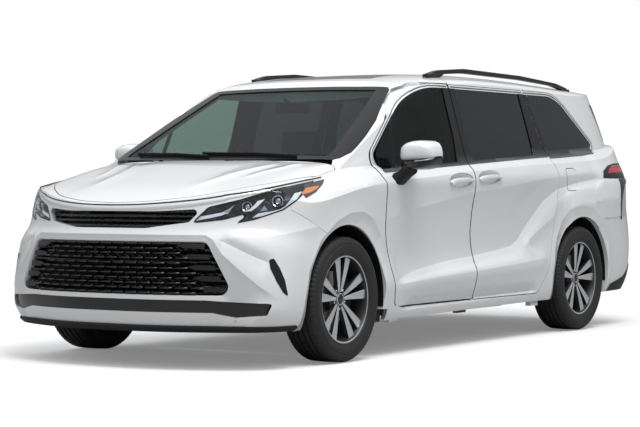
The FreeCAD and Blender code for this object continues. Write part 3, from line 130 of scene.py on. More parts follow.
@dataclass
class Skin:
    """One smooth surface of the body, held as a fine grid of points and normals."""

    net: np.ndarray
    steps: tuple[int, int]
    upward: bool
    points: np.ndarray = field(init=False)
    normals: np.ndarray = field(init=False)
    tree: BVHTree = field(init=False)

    def __post_init__(self) -> None:
        """Evaluates the grid and its search tree."""
        rows, columns, _ = self.net.shape
        u = np.linspace(0, rows - 3, self.steps[0])
        v = np.linspace(0, columns - 3, self.steps[1])
        near = 1e-3
        low_u, high_u = np.maximum(u - near, 0), np.minimum(u + near, rows - 3)
        low_v, high_v = np.maximum(v - near, 0), np.minimum(v + near, columns - 3)
        bu, bv = clamped_basis(rows, u), clamped_basis(columns, v)
        du = clamped_basis(rows, high_u) - clamped_basis(rows, low_u)
        dv = clamped_basis(columns, high_v) - clamped_basis(columns, low_v)
        self.points = np.einsum("ai,ijk,bj->abk", bu, self.net, bv) * MM
        along_u = np.einsum("ai,ijk,bj->abk", du, self.net, bv)
        along_v = np.einsum("ai,ijk,bj->abk", bu, self.net, dv)
        normals = np.cross(along_u, along_v)
        length = np.linalg.norm(normals, axis=2, keepdims=True)
        normals = normals / np.maximum(length, 1e-12)
        outward = np.array([0.0, 0.0, 1.0]) if self.upward else self.points * np.array([0.25, 1.0,
                                                                                        0.0])
        flip = np.sum(normals * outward, axis=2, keepdims=True) < 0
        self.normals = np.where(flip, -normals, normals)
        wide = self.steps[1]
        i, j = np.meshgrid(np.arange(self.steps[0] - 1), np.arange(wide - 1), indexing="ij")
        a = (i * wide + j).ravel()
        quads = np.stack([a, a + 1, a + wide + 1, a + wide], axis=1)
        self.tree = BVHTree.FromPolygons(self.points.reshape(-1, 3).tolist(), quads.tolist())

    def normal_at(self, place: Vector, quad: int) -> Vector:
        """The smooth normal inside one grid cell.

        Args:
            place: a point on or near the cell.
            quad: the cell's number.

        Returns:
            The blended unit normal.
        """
        wide = self.steps[1] - 1
        i, j = divmod(quad, wide)
        p = self.points
        origin, e1, e2 = p[i, j], p[i, j + 1] - p[i, j], p[i + 1, j] - p[i, j]
        rel = np.array(place) - origin
        s = float(np.clip(rel @ e1 / max(e1 @ e1, 1e-18), 0, 1))
        t = float(np.clip(rel @ e2 / max(e2 @ e2, 1e-18), 0, 1))
        n = self.normals
        near_row = n[i, j] * (1 - s) + n[i, j + 1] * s
        far_row = n[i + 1, j] * (1 - s) + n[i + 1, j + 1] * s
        return Vector(near_row * (1 - t) + far_row * t).normalized()

    def nearest(self, place: Vector, reach: float) -> Optional[tuple[float, Vector]]:
        """Distance and normal of the closest point within reach.

        Args:
            place: the point to start from.
            reach: the largest distance looked at.

        Returns:
            The distance and the normal, or None.
        """
        spot, _, quad, distance = self.tree.find_nearest(place, reach)
        if spot is None:
            return None
        return distance, self.normal_at(spot, quad)

    def meet(self, origin: Vector, direction: Vector) -> Optional[tuple[float, Vector]]:
        """Where a ray first meets the skin.

        Args:
            origin: the ray's start.
            direction: its unit direction.

        Returns:
            The distance along the ray and the normal there, or None.
        """
        spot, _, quad, distance = self.tree.ray_cast(origin, direction)
        if spot is None:
            return None
        return distance, self.normal_at(spot, quad)


def smooth_step(x: float, low: float, high: float) -> float:
    """A smooth rise from 0 at low to 1 at high."""
    share = min(1.0, max(0.0, (x - low) / (high - low)))
    return share * share * (3 - 2 * share)


@dataclass(frozen=True)
class BodyNets:
    """The control nets of the lower body, the greenhouse, the hood's surface and the roof."""

    body_rows: tuple[tuple[float, ...], ...] = (
        (180, 180, 190, 900, 0, 45, 60, 0.80),
        (232, 215, 250, 932, 8, 32, 45, 0.80),
        (300, 262, 330, 948, 24, 10, 16, 0.76),
        (380, 350, 430, 962, 22, 0, 0, 0.82),
        (470, 446, 530, 985, 6, 0, 0, 0.85),
        (600, 500, 640, 974, 18, 0, 6, 0.95),
        (713, 610, 740, 940, 52, 0, 30, 1.02),
        (770, 740, 820, 936, 54, 45, 48, 1.15),
        (850, 880, 900, 948, 42, 52, 54, 1.20),
        (925, 985, 990, 968, 24, 70, 58, 1.20),
        (1000, 1050, 1060, 978, 12, 120, 66, 1.15),
        (1110, 1110, 1130, 958, 2, 220, 84, 1.10),
        (1230, 1190, 1220, 922, 0, 330, 100, 1.20),
        (1500, 1500, 1500, 830, 0, 420, 130, 1.10),
    )
    nose_stations: tuple[Point2, ...] = ((640, 1.0), (430, 0.99), (265, 0.88), (110, 0.60),
                                         (0, 0.30), (0, 0.0))
    tail_stations: tuple[Point2, ...] = ((0, 0.0), (0, 0.38), (32, 0.68), (115, 0.88), (270, 0.97),
                                         (500, 1.0))
    cabin_rows: tuple[tuple[float, ...], ...] = (
        (1000, 945, 1854, 2484),
        (1150, 906, 1566, 2476),
        (1350, 854, 1180, 2436),
        (1550, 801, 798, 2372),
        (1700, 762, 500, 2310),
        (1830, 727, 240, 2250),
    )
    screen_stations: tuple[Point2, ...] = ((330, 1.0), (140, 0.985), (58, 0.885), (0, 0.50),
                                           (0, 0.0))
    rear_stations: tuple[Point2, ...] = ((0, 0.0), (0, 0.45), (70, 0.79), (215, 0.94), (480, 0.995))
    hood_profile: tuple[Point2, ...] = (
        (1103, 850), (1010, 872), (900, 922), (710, 994), (500, 1046), (250, 1105), (0, 1160),
        (-280, 1188), (-800, 1208), (-1520, 1248), (-2700, 1292), (-3450, 1316), (-4400, 1334))
    hood_drop: tuple[Point2, ...] = (
        (0, 0), (200, 0), (380, 1), (470, 10), (640, 15), (760, 20), (830, 34), (885, 66),
        (925, 104), (965, 150), (1030, 230), (1150, 400))
    roof_profile: tuple[Point2, ...] = (
        (1103, 1390), (-500, 1560), (-800, 1620), (-1000, 1664), (-1220, 1708), (-1500, 1736),
        (-1900, 1750), (-2500, 1746), (-3000, 1733), (-3500, 1714), (-3900, 1696), (-4100, 1686),
        (-4400, 1672))
    roof_drop: tuple[Point2, ...] = (
        (0, 0), (220, 0), (420, 6), (580, 16), (670, 30), (728, 46), (765, 66), (792, 108),
        (815, 190), (900, 520))

    def stations(self) -> list[float]:
        """Places along the side between the rear and the front corner, in millimetres."""
        front_axle, rear_axle = FRONT_AXLE / MM, REAR_AXLE / MM
        front_door = front_axle - 440
        slide_rear = rear_axle + 410
        middle = (front_door + slide_rear) / 2
        return [rear_axle - 280, rear_axle, slide_rear + 60, slide_rear + 330, middle - 130,
                middle + 330, front_door - 260, front_door + 60, front_axle]

    def lower_net(self) -> np.ndarray:
        """The net of the lower body."""
        front_axle, rear_axle, nose0 = FRONT_AXLE / MM, REAR_AXLE / MM, NOSE / MM
        rows = []
        last = len(self.body_rows) - 1
        for index, (front_z, side_z, rear_z, half, bulge, nose_in, tail_in,
                    sweep) in enumerate(self.body_rows):
            nose, tail = nose0 - nose_in, -nose0 + tail_in
            rise = 75.0 if 4 <= index < last else 0.0

            def width(x: float) -> float:
                """Half width at a place along the van."""
                front = smooth_step(x, front_axle - 640, front_axle - 150)
                rear = 1 - smooth_step(x, rear_axle + 330, rear_axle + 800)
                return half + bulge * max(front, rear)

            def height(x: float) -> float:
                """Height at a place along the van."""
                to_nose = smooth_step(x, front_axle + 100, nose - 200)
                to_tail = 1 - smooth_step(x, tail + 250, rear_axle - 50)
                along = side_z + rise * (0.5 - (x - rear_axle) / (front_axle - rear_axle))
                return along + (front_z - along) * to_nose + (rear_z - along) * to_tail

            row = [(tail + back, share * width(tail + back), height(tail + back)) for back,
                   share in self.tail_stations]
            row += [(x, width(x), height(x)) for x in self.stations()]
            for back, share in self.nose_stations:
                x = nose - back * sweep
                row.append((x, share * width(x), height(x)))
            if index in (0, last):
                row = [(x, y, side_z) for x, y, _ in row]
            rows.append(row + [(x, -y, z) for x, y, z in reversed(row[:-1])])
        return np.array(rows, float)

    def cabin_net(self) -> np.ndarray:
        """The net of the greenhouse."""
        rows = []
        for level, half, screen, rear in self.cabin_rows:
            nose, tail = screen, -rear
            row = [(tail + back, share * half, level) for back, share in self.rear_stations]
            row += [(tail + 480 + (nose - 330 - tail - 480) * step, half, level) for step in (0.25,
                                                                                              0.5,
                                                                                              0.75)]
            row += [(nose - back, share * half, level) for back, share in self.screen_stations]
            rows.append(row + [(x, -y, z) for x, y, z in reversed(row[:-1])])
        return np.array(rows, float)

    def top_net(self, profile: Sequence[Point2], drop: Sequence[Point2]) -> np.ndarray:
        """The net of a crowned top surface.

        Args:
            profile: places and heights along the centre.
            drop: places across and the fall towards the sides.

        Returns:
            The control net in millimetres.
        """
        sides = [(-y, d) for y, d in reversed(drop[1:])] + list(drop)
        return np.array([[(FRONT_AXLE / MM + along, y, level - d) for y, d in sides] for along,
                         level in profile])


class Envelope:
    """The van's outer form: a lower body cut by the hood's surface, a greenhouse by the roof."""

    def __init__(self) -> None:
        """Builds the four skins."""
        nets = BodyNets()
        self.lower = Skin(nets.lower_net(), (150, 760), False)
        self.cabin = Skin(nets.cabin_net(), (90, 460), False)
        self.hood = Skin(nets.top_net(nets.hood_profile, nets.hood_drop), (220, 200), True)
        self.roof = Skin(nets.top_net(nets.roof_profile, nets.roof_drop), (220, 200), True)
        self.skins = [self.lower, self.cabin, self.hood, self.roof]

    def entry(self, wall: Skin, top: Skin, origin: Vector,
              direction: Vector) -> Optional[tuple[float, Vector]]:
        """Where a ray enters one of the two towers.

        Args:
            wall: the tower's wall.
            top: the surface that cuts it from above.
            origin: the ray's start, outside.
            direction: its direction.

        Returns:
            Distance and normal, or None.
        """
        side = wall.meet(origin, direction)
        above = top.meet(origin, direction)
        if direction.z < STEEP:
            return above
        if side is None:
            return None
        if above is None:
            level = top.meet(Vector((origin.x + direction.x * side[0], 0, SKY)), Vector((0, 0, -1)))
            if level is None or SKY - level[0] < origin.z:
                return None
            return side
        return max(side, above, key=lambda hit: hit[0])

    def hit(self, origin: Vector, direction: Vector) -> Optional[tuple[Vector, Vector]]:
        """The first point of the van's form on a ray.

        Args:
            origin: the ray's start, outside.
            direction: its direction.

        Returns:
            Point and outward normal, or None.
        """
        found = [self.entry(self.lower, self.hood, origin, direction),
                 self.entry(self.cabin, self.roof, origin, direction)]
        found = [f for f in found if f is not None]
        if not found:
            return None
        distance, normal = min(found, key=lambda hit: hit[0])
        if normal.dot(direction) > 0:
            normal = -normal
        return origin + direction * distance, normal


ENVELOPE = Envelope()

# The finishes.


@dataclass(frozen=True)
class Finish:
    """A plain finish: a colour with fine variation, a sheen and a fine relief."""

    name: str
    colour: tuple[float, float, float]
    metallic: float = 0.0
    roughness: float = 0.5
    coat: float = 0.0
    coat_roughness: float = 0.04
    variation: float = 0.06
    scale: float = 60.0
    relief: float = 0.0
    relief_scale: float = 900.0
    specular: float = 0.5
    glow: float = 0.0
    gloss_variation: float = 0.04
    detail: float = 5.0
    relief_detail: float = 3.0
    relief_depth: float = 0.0006

    def build(self) -> bpy.types.Material:
        """Makes the node material.

        Returns:
            The material, made once per name.
        """
        ready = bpy.data.materials.get(self.name)
        if ready:
            return ready
        material = bpy.data.materials.new(self.name)
        material.use_nodes = True
        nodes, links = material.node_tree.nodes, material.node_tree.links
        shader = nodes["Principled BSDF"]
        place = nodes.new("ShaderNodeTexCoord")
        noise = nodes.new("ShaderNodeTexNoise")
        noise.inputs["Scale"].default_value = self.scale
        noise.inputs["Detail"].default_value = self.detail
        links.new(place.outputs["Object"], noise.inputs["Vector"])
        ramp = nodes.new("ShaderNodeMix")
        ramp.data_type = "RGBA"
        dark = [max(0.0, c * (1 - self.variation)) for c in self.colour]
        light = [min(1.0, c * (1 + self.variation)) for c in self.colour]
        ramp.inputs["A"].default_value = (*dark, 1)
        ramp.inputs["B"].default_value = (*light, 1)
        links.new(noise.outputs["Fac"], ramp.inputs["Factor"])
        links.new(ramp.outputs["Result"], shader.inputs["Base Color"])
        rough = nodes.new("ShaderNodeMapRange")
        rough.inputs["To Min"].default_value = max(0.0, self.roughness - self.gloss_variation)
        rough.inputs["To Max"].default_value = min(1.0, self.roughness + self.gloss_variation)
        links.new(noise.outputs["Fac"], rough.inputs["Value"])
        links.new(rough.outputs["Result"], shader.inputs["Roughness"])
        shader.inputs["Metallic"].default_value = self.metallic
        shader.inputs["Coat Weight"].default_value = self.coat
        shader.inputs["Coat Roughness"].default_value = self.coat_roughness
        shader.inputs["Specular IOR Level"].default_value = self.specular
        if self.glow > 0:
            shader.inputs["Emission Color"].default_value = (*self.colour, 1)
            shader.inputs["Emission Strength"].default_value = self.glow
        if self.relief > 0:
            grain = nodes.new("ShaderNodeTexNoise")
            grain.inputs["Scale"].default_value = self.relief_scale
            grain.inputs["Detail"].default_value = self.relief_detail
            links.new(place.outputs["Object"], grain.inputs["Vector"])
            bump = nodes.new("ShaderNodeBump")
            bump.inputs["Strength"].default_value = self.relief
            bump.inputs["Distance"].default_value = self.relief_depth
            links.new(grain.outputs["Fac"], bump.inputs["Height"])
            links.new(bump.outputs["Normal"], shader.inputs["Normal"])
        return material


@dataclass(frozen=True)
class GlassFinish:
    """Glass seen as a thin sheet: mostly clear, tinted, with a sharp reflection."""

    name: str
    tint: tuple[float, float, float]
    clear: float
    roughness: float = 0.02
    body: tuple[float, float, float] = (0.02, 0.024, 0.024)
    mirror: float = 0.9
    patch_scale: float = 7.0
    ior: float = 1.50
    sheen: tuple[float, float, float] = (0.96, 0.98, 0.98)

    def build(self) -> bpy.types.Material:
        """Makes the node material.

        Returns:
            The material, made once per name.
        """
        ready = bpy.data.materials.get(self.name)
        if ready:
            return ready
        material = bpy.data.materials.new(self.name)
        material.use_nodes = True
        nodes, links = material.node_tree.nodes, material.node_tree.links
        nodes.remove(nodes["Principled BSDF"])
        out = nodes["Material Output"]
        place = nodes.new("ShaderNodeTexCoord")
        noise = nodes.new("ShaderNodeTexNoise")
        noise.inputs["Scale"].default_value = self.patch_scale
        links.new(place.outputs["Object"], noise.inputs["Vector"])
        through = nodes.new("ShaderNodeBsdfTransparent")
        tone = nodes.new("ShaderNodeMix")
        tone.data_type = "RGBA"
        tone.inputs["A"].default_value = (*[c * 0.97 for c in self.tint], 1)
        tone.inputs["B"].default_value = (*self.tint, 1)
        links.new(noise.outputs["Fac"], tone.inputs["Factor"])
        links.new(tone.outputs["Result"], through.inputs["Color"])
        solid = nodes.new("ShaderNodeBsdfDiffuse")
        solid.inputs["Color"].default_value = (*self.body, 1)
        inner = nodes.new("ShaderNodeMixShader")
        inner.inputs[0].default_value = self.clear
        links.new(solid.outputs[0], inner.inputs[1])
        links.new(through.outputs[0], inner.inputs[2])
        gloss = nodes.new("ShaderNodeBsdfGlossy")
        gloss.inputs["Roughness"].default_value = self.roughness
        gloss.inputs["Color"].default_value = (*self.sheen, 1)
        facing = nodes.new("ShaderNodeFresnel")
        facing.inputs["IOR"].default_value = self.ior
        geometry = nodes.new("ShaderNodeNewGeometry")
        front = nodes.new("ShaderNodeMath")
        front.operation = "SUBTRACT"
        front.inputs[0].default_value = 1.0
        links.new(geometry.outputs["Backfacing"], front.inputs[1])
        share = nodes.new("ShaderNodeMath")
        share.operation = "MULTIPLY"
        links.new(facing.outputs[0], share.inputs[0])
        links.new(front.outputs[0], share.inputs[1])
        part = nodes.new("ShaderNodeMath")
        part.operation = "MULTIPLY"
        part.inputs[1].default_value = self.mirror
        links.new(share.outputs[0], part.inputs[0])
        mix = nodes.new("ShaderNodeMixShader")
        links.new(part.outputs[0], mix.inputs[0])
        links.new(inner.outputs[0], mix.inputs[1])
        links.new(gloss.outputs[0], mix.inputs[2])
        links.new(mix.outputs[0], out.inputs["Surface"])
        return material


PAINT = Finish("pearl_paint", (0.80, 0.81, 0.82), 0.0, 0.30, 1.0, 0.03, 0.012, 1800.0, 0.02, 4200.0,
               0.5, 0.0, 0.02)
LINING = Finish("cabin_lining", (0.055, 0.056, 0.060), 0.0, 0.80, 0.0, 0.1, 0.15, 140.0, 0.3,
                1400.0)
HEADLINER = Finish("headliner_cloth", (0.30, 0.30, 0.30), 0.0, 0.95, 0.0, 0.1, 0.10, 160.0, 0.4,
                   1600.0)
GLOSS_BLACK = Finish("gloss_black_trim", (0.009, 0.009, 0.010), 0.0, 0.16, 0.2, 0.03, 0.15, 40.0)
COVER_BLACK = Finish("pillar_cover_black", (0.010, 0.010, 0.011), 0.0, 0.24, 0.0, 0.03, 0.12, 40.0,
                     specular=0.22)
BLACK_PLASTIC = Finish("grained_black_plastic", (0.012, 0.012, 0.013), 0.0, 0.55, 0.0, 0.1, 0.18,
                       90.0, 0.35, 2200.0, 0.25)
BRIGHT_TRIM = Finish("bright_trim", (0.84, 0.85, 0.86), 0.35, 0.20, 0.4, 0.05, 0.03, 30.0)
RAIL_BLACK = Finish("rail_satin_black", (0.016, 0.016, 0.017), 0.3, 0.34, 0.2, 0.08, 0.1, 50.0)
TYRE_RUBBER = Finish("tyre_rubber", (0.014, 0.014, 0.0145), 0.0, 0.62, 0.0, 0.1, 0.22, 70.0, 0.3,
                     1500.0)
ALLOY_FACE = Finish("machined_alloy", (0.62, 0.63, 0.64), 0.60, 0.26, 0.3, 0.05, 0.03, 220.0)
ALLOY_DARK = Finish("dark_alloy_pocket", (0.085, 0.086, 0.090), 0.6, 0.36, 0.3, 0.08, 0.12, 90.0)
BARREL_DARK = Finish("barrel_alloy", (0.060, 0.060, 0.062), 0.7, 0.45, 0.0, 0.08, 0.12, 90.0)
DISC_STEEL = Finish("brake_steel", (0.42, 0.41, 0.40), 1.0, 0.38, 0.0, 0.1, 0.15, 300.0)
CAST_DARK = Finish("dark_chassis_paint", (0.030, 0.030, 0.031), 0.1, 0.6, 0.0, 0.1, 0.2, 60.0, 0.3,
                   900.0)
CAST_ALLOY = Finish("cast_alloy", (0.34, 0.34, 0.35), 0.8, 0.5, 0.0, 0.1, 0.15, 60.0, 0.4, 700.0)
PIPE_STEEL = Finish("exhaust_steel", (0.30, 0.28, 0.26), 1.0, 0.42, 0.0, 0.1, 0.25, 40.0)
UNDERBODY = Finish("underbody_coat", (0.035, 0.035, 0.036), 0.0, 0.85, 0.0, 0.1, 0.2, 50.0, 0.4,
                   500.0)
SEAT_LEATHER = Finish("seat_leather", (0.060, 0.060, 0.064), 0.0, 0.52, 0.0, 0.1, 0.12, 120.0, 0.45,
                      1100.0)
DASH_SKIN = Finish("dash_skin", (0.035, 0.035, 0.038), 0.0, 0.62, 0.0, 0.1, 0.12, 120.0, 0.35,
                   1500.0)
LAMP_DARK = Finish("lamp_housing", (0.080, 0.084, 0.090), 0.5, 0.30, 0.2, 0.05, 0.15, 60.0)
LAMP_CHROME = Finish("lamp_reflector", (0.78, 0.80, 0.83), 1.0, 0.10, 0.0, 0.05, 0.03, 60.0)
LAMP_WHITE = Finish("lamp_light_strip", (0.86, 0.88, 0.90), 0.0, 0.25, 0.5, 0.05, 0.02, 60.0, 0.0,
                    900.0, 0.5, 0.25)
AMBER = Finish("amber_marker", (0.62, 0.20, 0.05), 0.0, 0.25, 0.6, 0.05, 0.08, 120.0)
RED_LENS = Finish("red_lens", (0.50, 0.006, 0.010), 0.0, 0.20, 0.2, 0.03, 0.10, 90.0)
SMOKE_LENS = Finish("smoked_lens", (0.035, 0.018, 0.020), 0.0, 0.10, 1.0, 0.03, 0.10, 90.0)
SILVER_STRIP = Finish("silver_strip", (0.60, 0.61, 0.62), 0.9, 0.22, 0.2, 0.05, 0.04, 60.0)
MIRROR_GLASS = Finish("mirror_glass", (0.86, 0.88, 0.90), 1.0, 0.03, 0.0, 0.03, 0.01, 20.0)
CLEAR_GLASS = GlassFinish("clear_green_glass", (0.60, 0.69, 0.66), 0.93, mirror=0.42)
TINTED_GLASS = GlassFinish("privacy_glass", (0.22, 0.235, 0.235), 0.88)
LAMP_COVER = GlassFinish("lamp_cover", (0.93, 0.95, 0.97), 0.97)
ROOF_GLASS = GlassFinish("roof_glass", (0.06, 0.065, 0.07), 0.6, 0.03, (0.10, 0.10, 0.11))

AnyFinish = Finish | GlassFinish

# The tools that make meshes.


def linked(name: str, data: bpy.types.ID) -> bpy.types.Object:
    """A new object of the scene with the given data."""
    obj = bpy.data.objects.new(name, data)
    bpy.context.scene.collection.objects.link(obj)
    return obj


def shade(mesh: bpy.types.Mesh, angle: float) -> None:
    """Shades a mesh smoothly, with sharp edges above an angle in degrees."""
    mesh.shade_smooth()
    mesh.set_sharp_from_angle(angle=math.radians(angle))


def make_object(name: str, verts: Sequence[Sequence[float]], faces: Sequence[Sequence[int]],
                finish: AnyFinish,
                smooth: bool = True, angle: float = 35.0) -> bpy.types.Object:
    """A mesh object with one finish.

    Args:
        name: the object's name.
        verts: corner places in metres.
        faces: corner numbers of each face.
        finish: the finish it takes.
        smooth: whether faces shade smoothly below the angle.
        angle: the edge angle in degrees above which an edge stays sharp.

    Returns:
        The linked object.
    """
    mesh = bpy.data.meshes.new(name)
    mesh.from_pydata([tuple(v) for v in verts], [], [tuple(f) for f in faces])
    mesh.validate()
    obj = linked(name, mesh)
    mesh.materials.append(finish.build())
    if smooth:
        shade(mesh, angle)
    return obj


def closed_object(name: str, verts: Sequence[Sequence[float]], faces: Sequence[Sequence[int]],
                  finish: AnyFinish, angle: float) -> bpy.types.Object:
    """A smooth object whose faces all look outward.

    Args:
        name: the object's name.
        verts: corner places in metres.
        faces: corner numbers of each face.
        finish: the finish it takes.
        angle: the edge angle in degrees above which an edge stays sharp.

    Returns:
        The linked object.
    """
    obj = make_object(name, verts, faces, finish, True, angle)
    bm = bmesh.new()
    bm.from_mesh(obj.data)
    bmesh.ops.recalc_face_normals(bm, faces=bm.faces)
    bm.to_mesh(obj.data)
    bm.free()
    return obj


def attach(obj: bpy.types.Object, body: str) -> bpy.types.Object:
    """Lets an object ride on a body, tagged with the body's name.

    Args:
        obj: the object.
        body: the body's name.

    Returns:
        The same object.
    """
    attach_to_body(obj, body)
    return obj


def mirrored(obj: bpy.types.Object, name: str) -> bpy.types.Object:
    """A copy of an object on the other side of the van.

    Args:
        obj: the object to copy.
        name: the copy's name.

    Returns:
        The linked copy.
    """
    mesh = obj.data.copy()
    normals = None
    if mesh.has_custom_normals:
        normals = np.zeros(len(mesh.loops) * 3, np.float32)
        mesh.corner_normals.foreach_get("vector", normals)
        normals = normals.reshape(-1, 3) * np.array([1, -1, 1], np.float32)
    mesh.transform(Matrix.Scale(-1, 4, (0, 1, 0)))
    if normals is not None:
        flipped = np.empty_like(normals)
        for poly in mesh.polygons:
            idx = list(poly.loop_indices)
            order = [idx[0]] + idx[:0:-1]
            flipped[idx] = normals[order]
        mesh.flip_normals()
        mesh.normals_split_custom_set(flipped.tolist())
    else:
        mesh.flip_normals()
    return linked(name, mesh)


def rounded(points: Sequence[tuple[float, ...]], steps: int = 5) -> list[Point2]:
    """A flat outline whose corners (a, b, radius) are rounded by short segments.

    Args:
        points: corners in metres, each with an optional radius.
        steps: segments per rounded corner.

    Returns:
        The outline's points.
    """
    result: list[Point2] = []
    count = len(points)
    for k in range(count):
        before, here, after = points[k - 1], points[k], points[(k + 1) % count]
        radius = here[2] if len(here) > 2 else 0.0
        one = Vector((before[0] - here[0], before[1] - here[1]))
        two = Vector((after[0] - here[0], after[1] - here[1]))
        angle = one.angle(two, math.pi)
        reach = radius / math.tan(angle / 2) if radius > 0 and angle > 1e-3 else 0.0
        reach = min(reach, 0.49 * min(one.length, two.length))
        if reach < 1e-4:
            result.append((here[0], here[1]))
            continue
        start = Vector(here[:2]) + one.normalized() * reach
        end = Vector(here[:2]) + two.normalized() * reach
        for s in range(steps + 1):
            t = s / steps
            p = start * (1 - t) ** 2 + Vector(here[:2]) * 2 * t * (1 - t) + end * t * t
            result.append((p.x, p.y))
    return result


CORNER_TURN = math.radians(33.0)
CORNER_BASE = Vector((FRONT_AXLE + 0.550, HALF - 0.300, 0.0))


# How far out the rays start, and how deep a point lies that meets nothing.
SIDE_START = 2.0
FRONT_START = 4.0
TOP_START = 3.0
CORNER_START = 1.6
MISS_DEPTH = 2.0


def aim(look: Look, a: float, b: float) -> tuple[Vector, Vector]:
    """The ray that carries a flat point onto the body.

    Args:
        look: the direction of view.
        a: the point's first coordinate.
        b: the point's second coordinate.

    Returns:
        Origin and direction.
    """
    if look is Look.SIDE:
        return Vector((a, SIDE_START, b)), Vector((0, -1, 0))
    if look is Look.FRONT:
        return Vector((FRONT_START, a, b)), Vector((-1, 0, 0))
    if look is Look.TOP:
        return Vector((a, b, TOP_START)), Vector((0, 0, -1))
    forward = Vector((math.cos(CORNER_TURN), math.sin(CORNER_TURN), 0))
    across = Vector((-math.sin(CORNER_TURN), math.cos(CORNER_TURN), 0))
    return CORNER_BASE + forward * CORNER_START + across * a + Vector((0, 0, b)), -forward


def land(look: Look, a: float, b: float) -> tuple[Vector, Vector]:
    """The place and normal on the body under a flat point.

    Args:
        look: the direction of view.
        a: the point's first coordinate.
        b: the point's second coordinate.

    Returns:
        Point and outward normal.
    """
    origin, direction = aim(look, a, b)
    found = ENVELOPE.hit(origin, direction)
    if found is None:
        return origin + direction * MISS_DEPTH, -direction
    return found


def drape(name: str, outline: Sequence[Point2], look: Look, finish: AnyFinish, lift: float = 0.001,
          depth: float = 0.002, spacing: float = 0.03,
          shape: Optional[Callable[[float, float], float]] = None) -> bpy.types.Object:
    """A thin sheet that lies on the body inside a flat outline.

    Args:
        name: the object's name.
        outline: the outline's points in the plane of view.
        look: the direction of view.
        finish: the finish it takes.
        lift: how far its face stands above the body.
        depth: its thickness.
        spacing: the size of its grid cells.
        shape: an extra lift at a flat point.

    Returns:
        The object.
    """
    bm = bmesh.new()
    ring = [bm.verts.new((a, b, 0)) for a, b in outline]
    bm.faces.new(ring)
    lows = [min(p[k] for p in outline) for k in (0, 1)]
    highs = [max(p[k] for p in outline) for k in (0, 1)]
    for axis in (0, 1):
        count = max(1, int(math.ceil((highs[axis] - lows[axis]) / spacing)))
        for k in range(1, count):
            level = lows[axis] + (highs[axis] - lows[axis]) * k / count
            point = [0.0, 0.0, 0.0]
            point[axis] = level
            normal = [0.0, 0.0, 0.0]
            normal[axis] = 1.0
            bmesh.ops.bisect_plane(bm, geom=bm.verts[:] + bm.edges[:] + bm.faces[:], plane_co=point,
                                   plane_no=normal)
    bmesh.ops.triangulate(bm, faces=[f for f in bm.faces if len(f.verts) > 4])
    bm.verts.index_update()
    flat = [(v.co.x, v.co.y) for v in bm.verts]
    landed = [land(look, a, b) for a, b in flat]
    lifts = [lift + (shape(a, b) if shape else 0.0) for a, b in flat]
    outer = [p + n * h for (p, n), h in zip(landed, lifts)]
    inner = [p + n * (h - depth) for (p, n), h in zip(landed, lifts)]
    count = len(flat)
    faces = []
    probe = next(iter(bm.faces))
    pts = [outer[v.index] for v in probe.verts]
    towards = (pts[1] - pts[0]).cross(pts[2] - pts[0]).dot(landed[probe.verts[0].index][1])
    for f in bm.faces:
        loop = [v.index for v in f.verts]
        if towards < 0:
            loop.reverse()
        faces.append(loop)
        faces.append([i + count for i in reversed(loop)])
    for e in bm.edges:
        if len(e.link_faces) == 1:
            face = e.link_faces[0]
            idx = [v.index for v in face.verts]
            a, b = e.verts[0].index, e.verts[1].index
            if (idx.index(b) - idx.index(a)) % len(idx) != 1:
                a, b = b, a
            if towards < 0:
                a, b = b, a
            faces.append([b, a, a + count, b + count])
    bm.free()
    obj = make_object(name, outer + inner, faces, finish, True, 40.0)
    normals = []
    mesh = obj.data
    for poly in mesh.polygons:
        tops = all(mesh.loops[k].vertex_index < count for k in poly.loop_indices)
        for k in poly.loop_indices:
            v = mesh.loops[k].vertex_index
            normals.append(landed[v][1] if tops and shape is None else Vector((0, 0, 0)))
    mesh.normals_split_custom_set([tuple(n) for n in normals])
    return obj


def sweep(name: str, path: Sequence[Vector], normals: Sequence[Vector], section: Sequence[Point2],
          finish: AnyFinish, closed: bool = False,
          sizes: Optional[Sequence[float]] = None) -> bpy.types.Object:
    """A bar of one section that follows a path on the body.

    Args:
        name: the object's name.
        path: places along the bar.
        normals: the way up of the section at each place.
        section: the section's points (across, up), anticlockwise.
        finish: the finish it takes.
        closed: whether the bar runs round in a ring.
        sizes: the section's scale at each place.

    Returns:
        The object.
    """
    count, wide = len(path), len(section)
    verts, faces = [], []
    for k in range(count):
        before = path[(k - 1) % count] if closed or k > 0 else path[k]
        after = path[(k + 1) % count] if closed or k < count - 1 else path[k]
        along = (after - before).normalized()
        up = (normals[k] - along * normals[k].dot(along)).normalized()
        across = along.cross(up)
        grow = sizes[k] if sizes else 1.0
        verts += [path[k] + across * (a * grow) + up * (b * grow) for a, b in section]
    last = count if closed else count - 1
    for k in range(last):
        a, b = k * wide, ((k + 1) % count) * wide
        for s in range(wide):
            t = (s + 1) % wide
            faces.append([a + s, a + t, b + t, b + s])
    if not closed:
        faces.append(list(range(wide))[::-1])
        faces.append([last * wide + s for s in range(wide)])
    return closed_object(name, verts, faces, finish, 38.0)


def lathe(name: str, profile: Sequence[Point2], finish: AnyFinish, turns: int = 96,
          centre: Vector = Vector((0, 0, 0)), outward: float = 1.0) -> bpy.types.Object:
    """A body of revolution about the Y direction.

    Args:
        name: the object's name.
        profile: points (along the axis, radius), closed.
        finish: the finish it takes.
        turns: segments round the axis.
        centre: the centre of the turn.
        outward: 1 for the left side and -1 for the right side.

    Returns:
        The object.
    """
    wide = len(profile)
    verts, faces = [], []
    for k in range(turns):
        angle = 2 * math.pi * k / turns
        c, s = math.cos(angle), math.sin(angle)
        verts += [(centre.x + r * c, centre.y + outward * y, centre.z + r * s) for y, r in profile]
    for k in range(turns):
        a, b = k * wide, ((k + 1) % turns) * wide
        for j in range(wide):
            t = (j + 1) % wide
            faces.append([a + j, b + j, b + t, a + t])
    return closed_object(name, verts, faces, finish, 30.0)


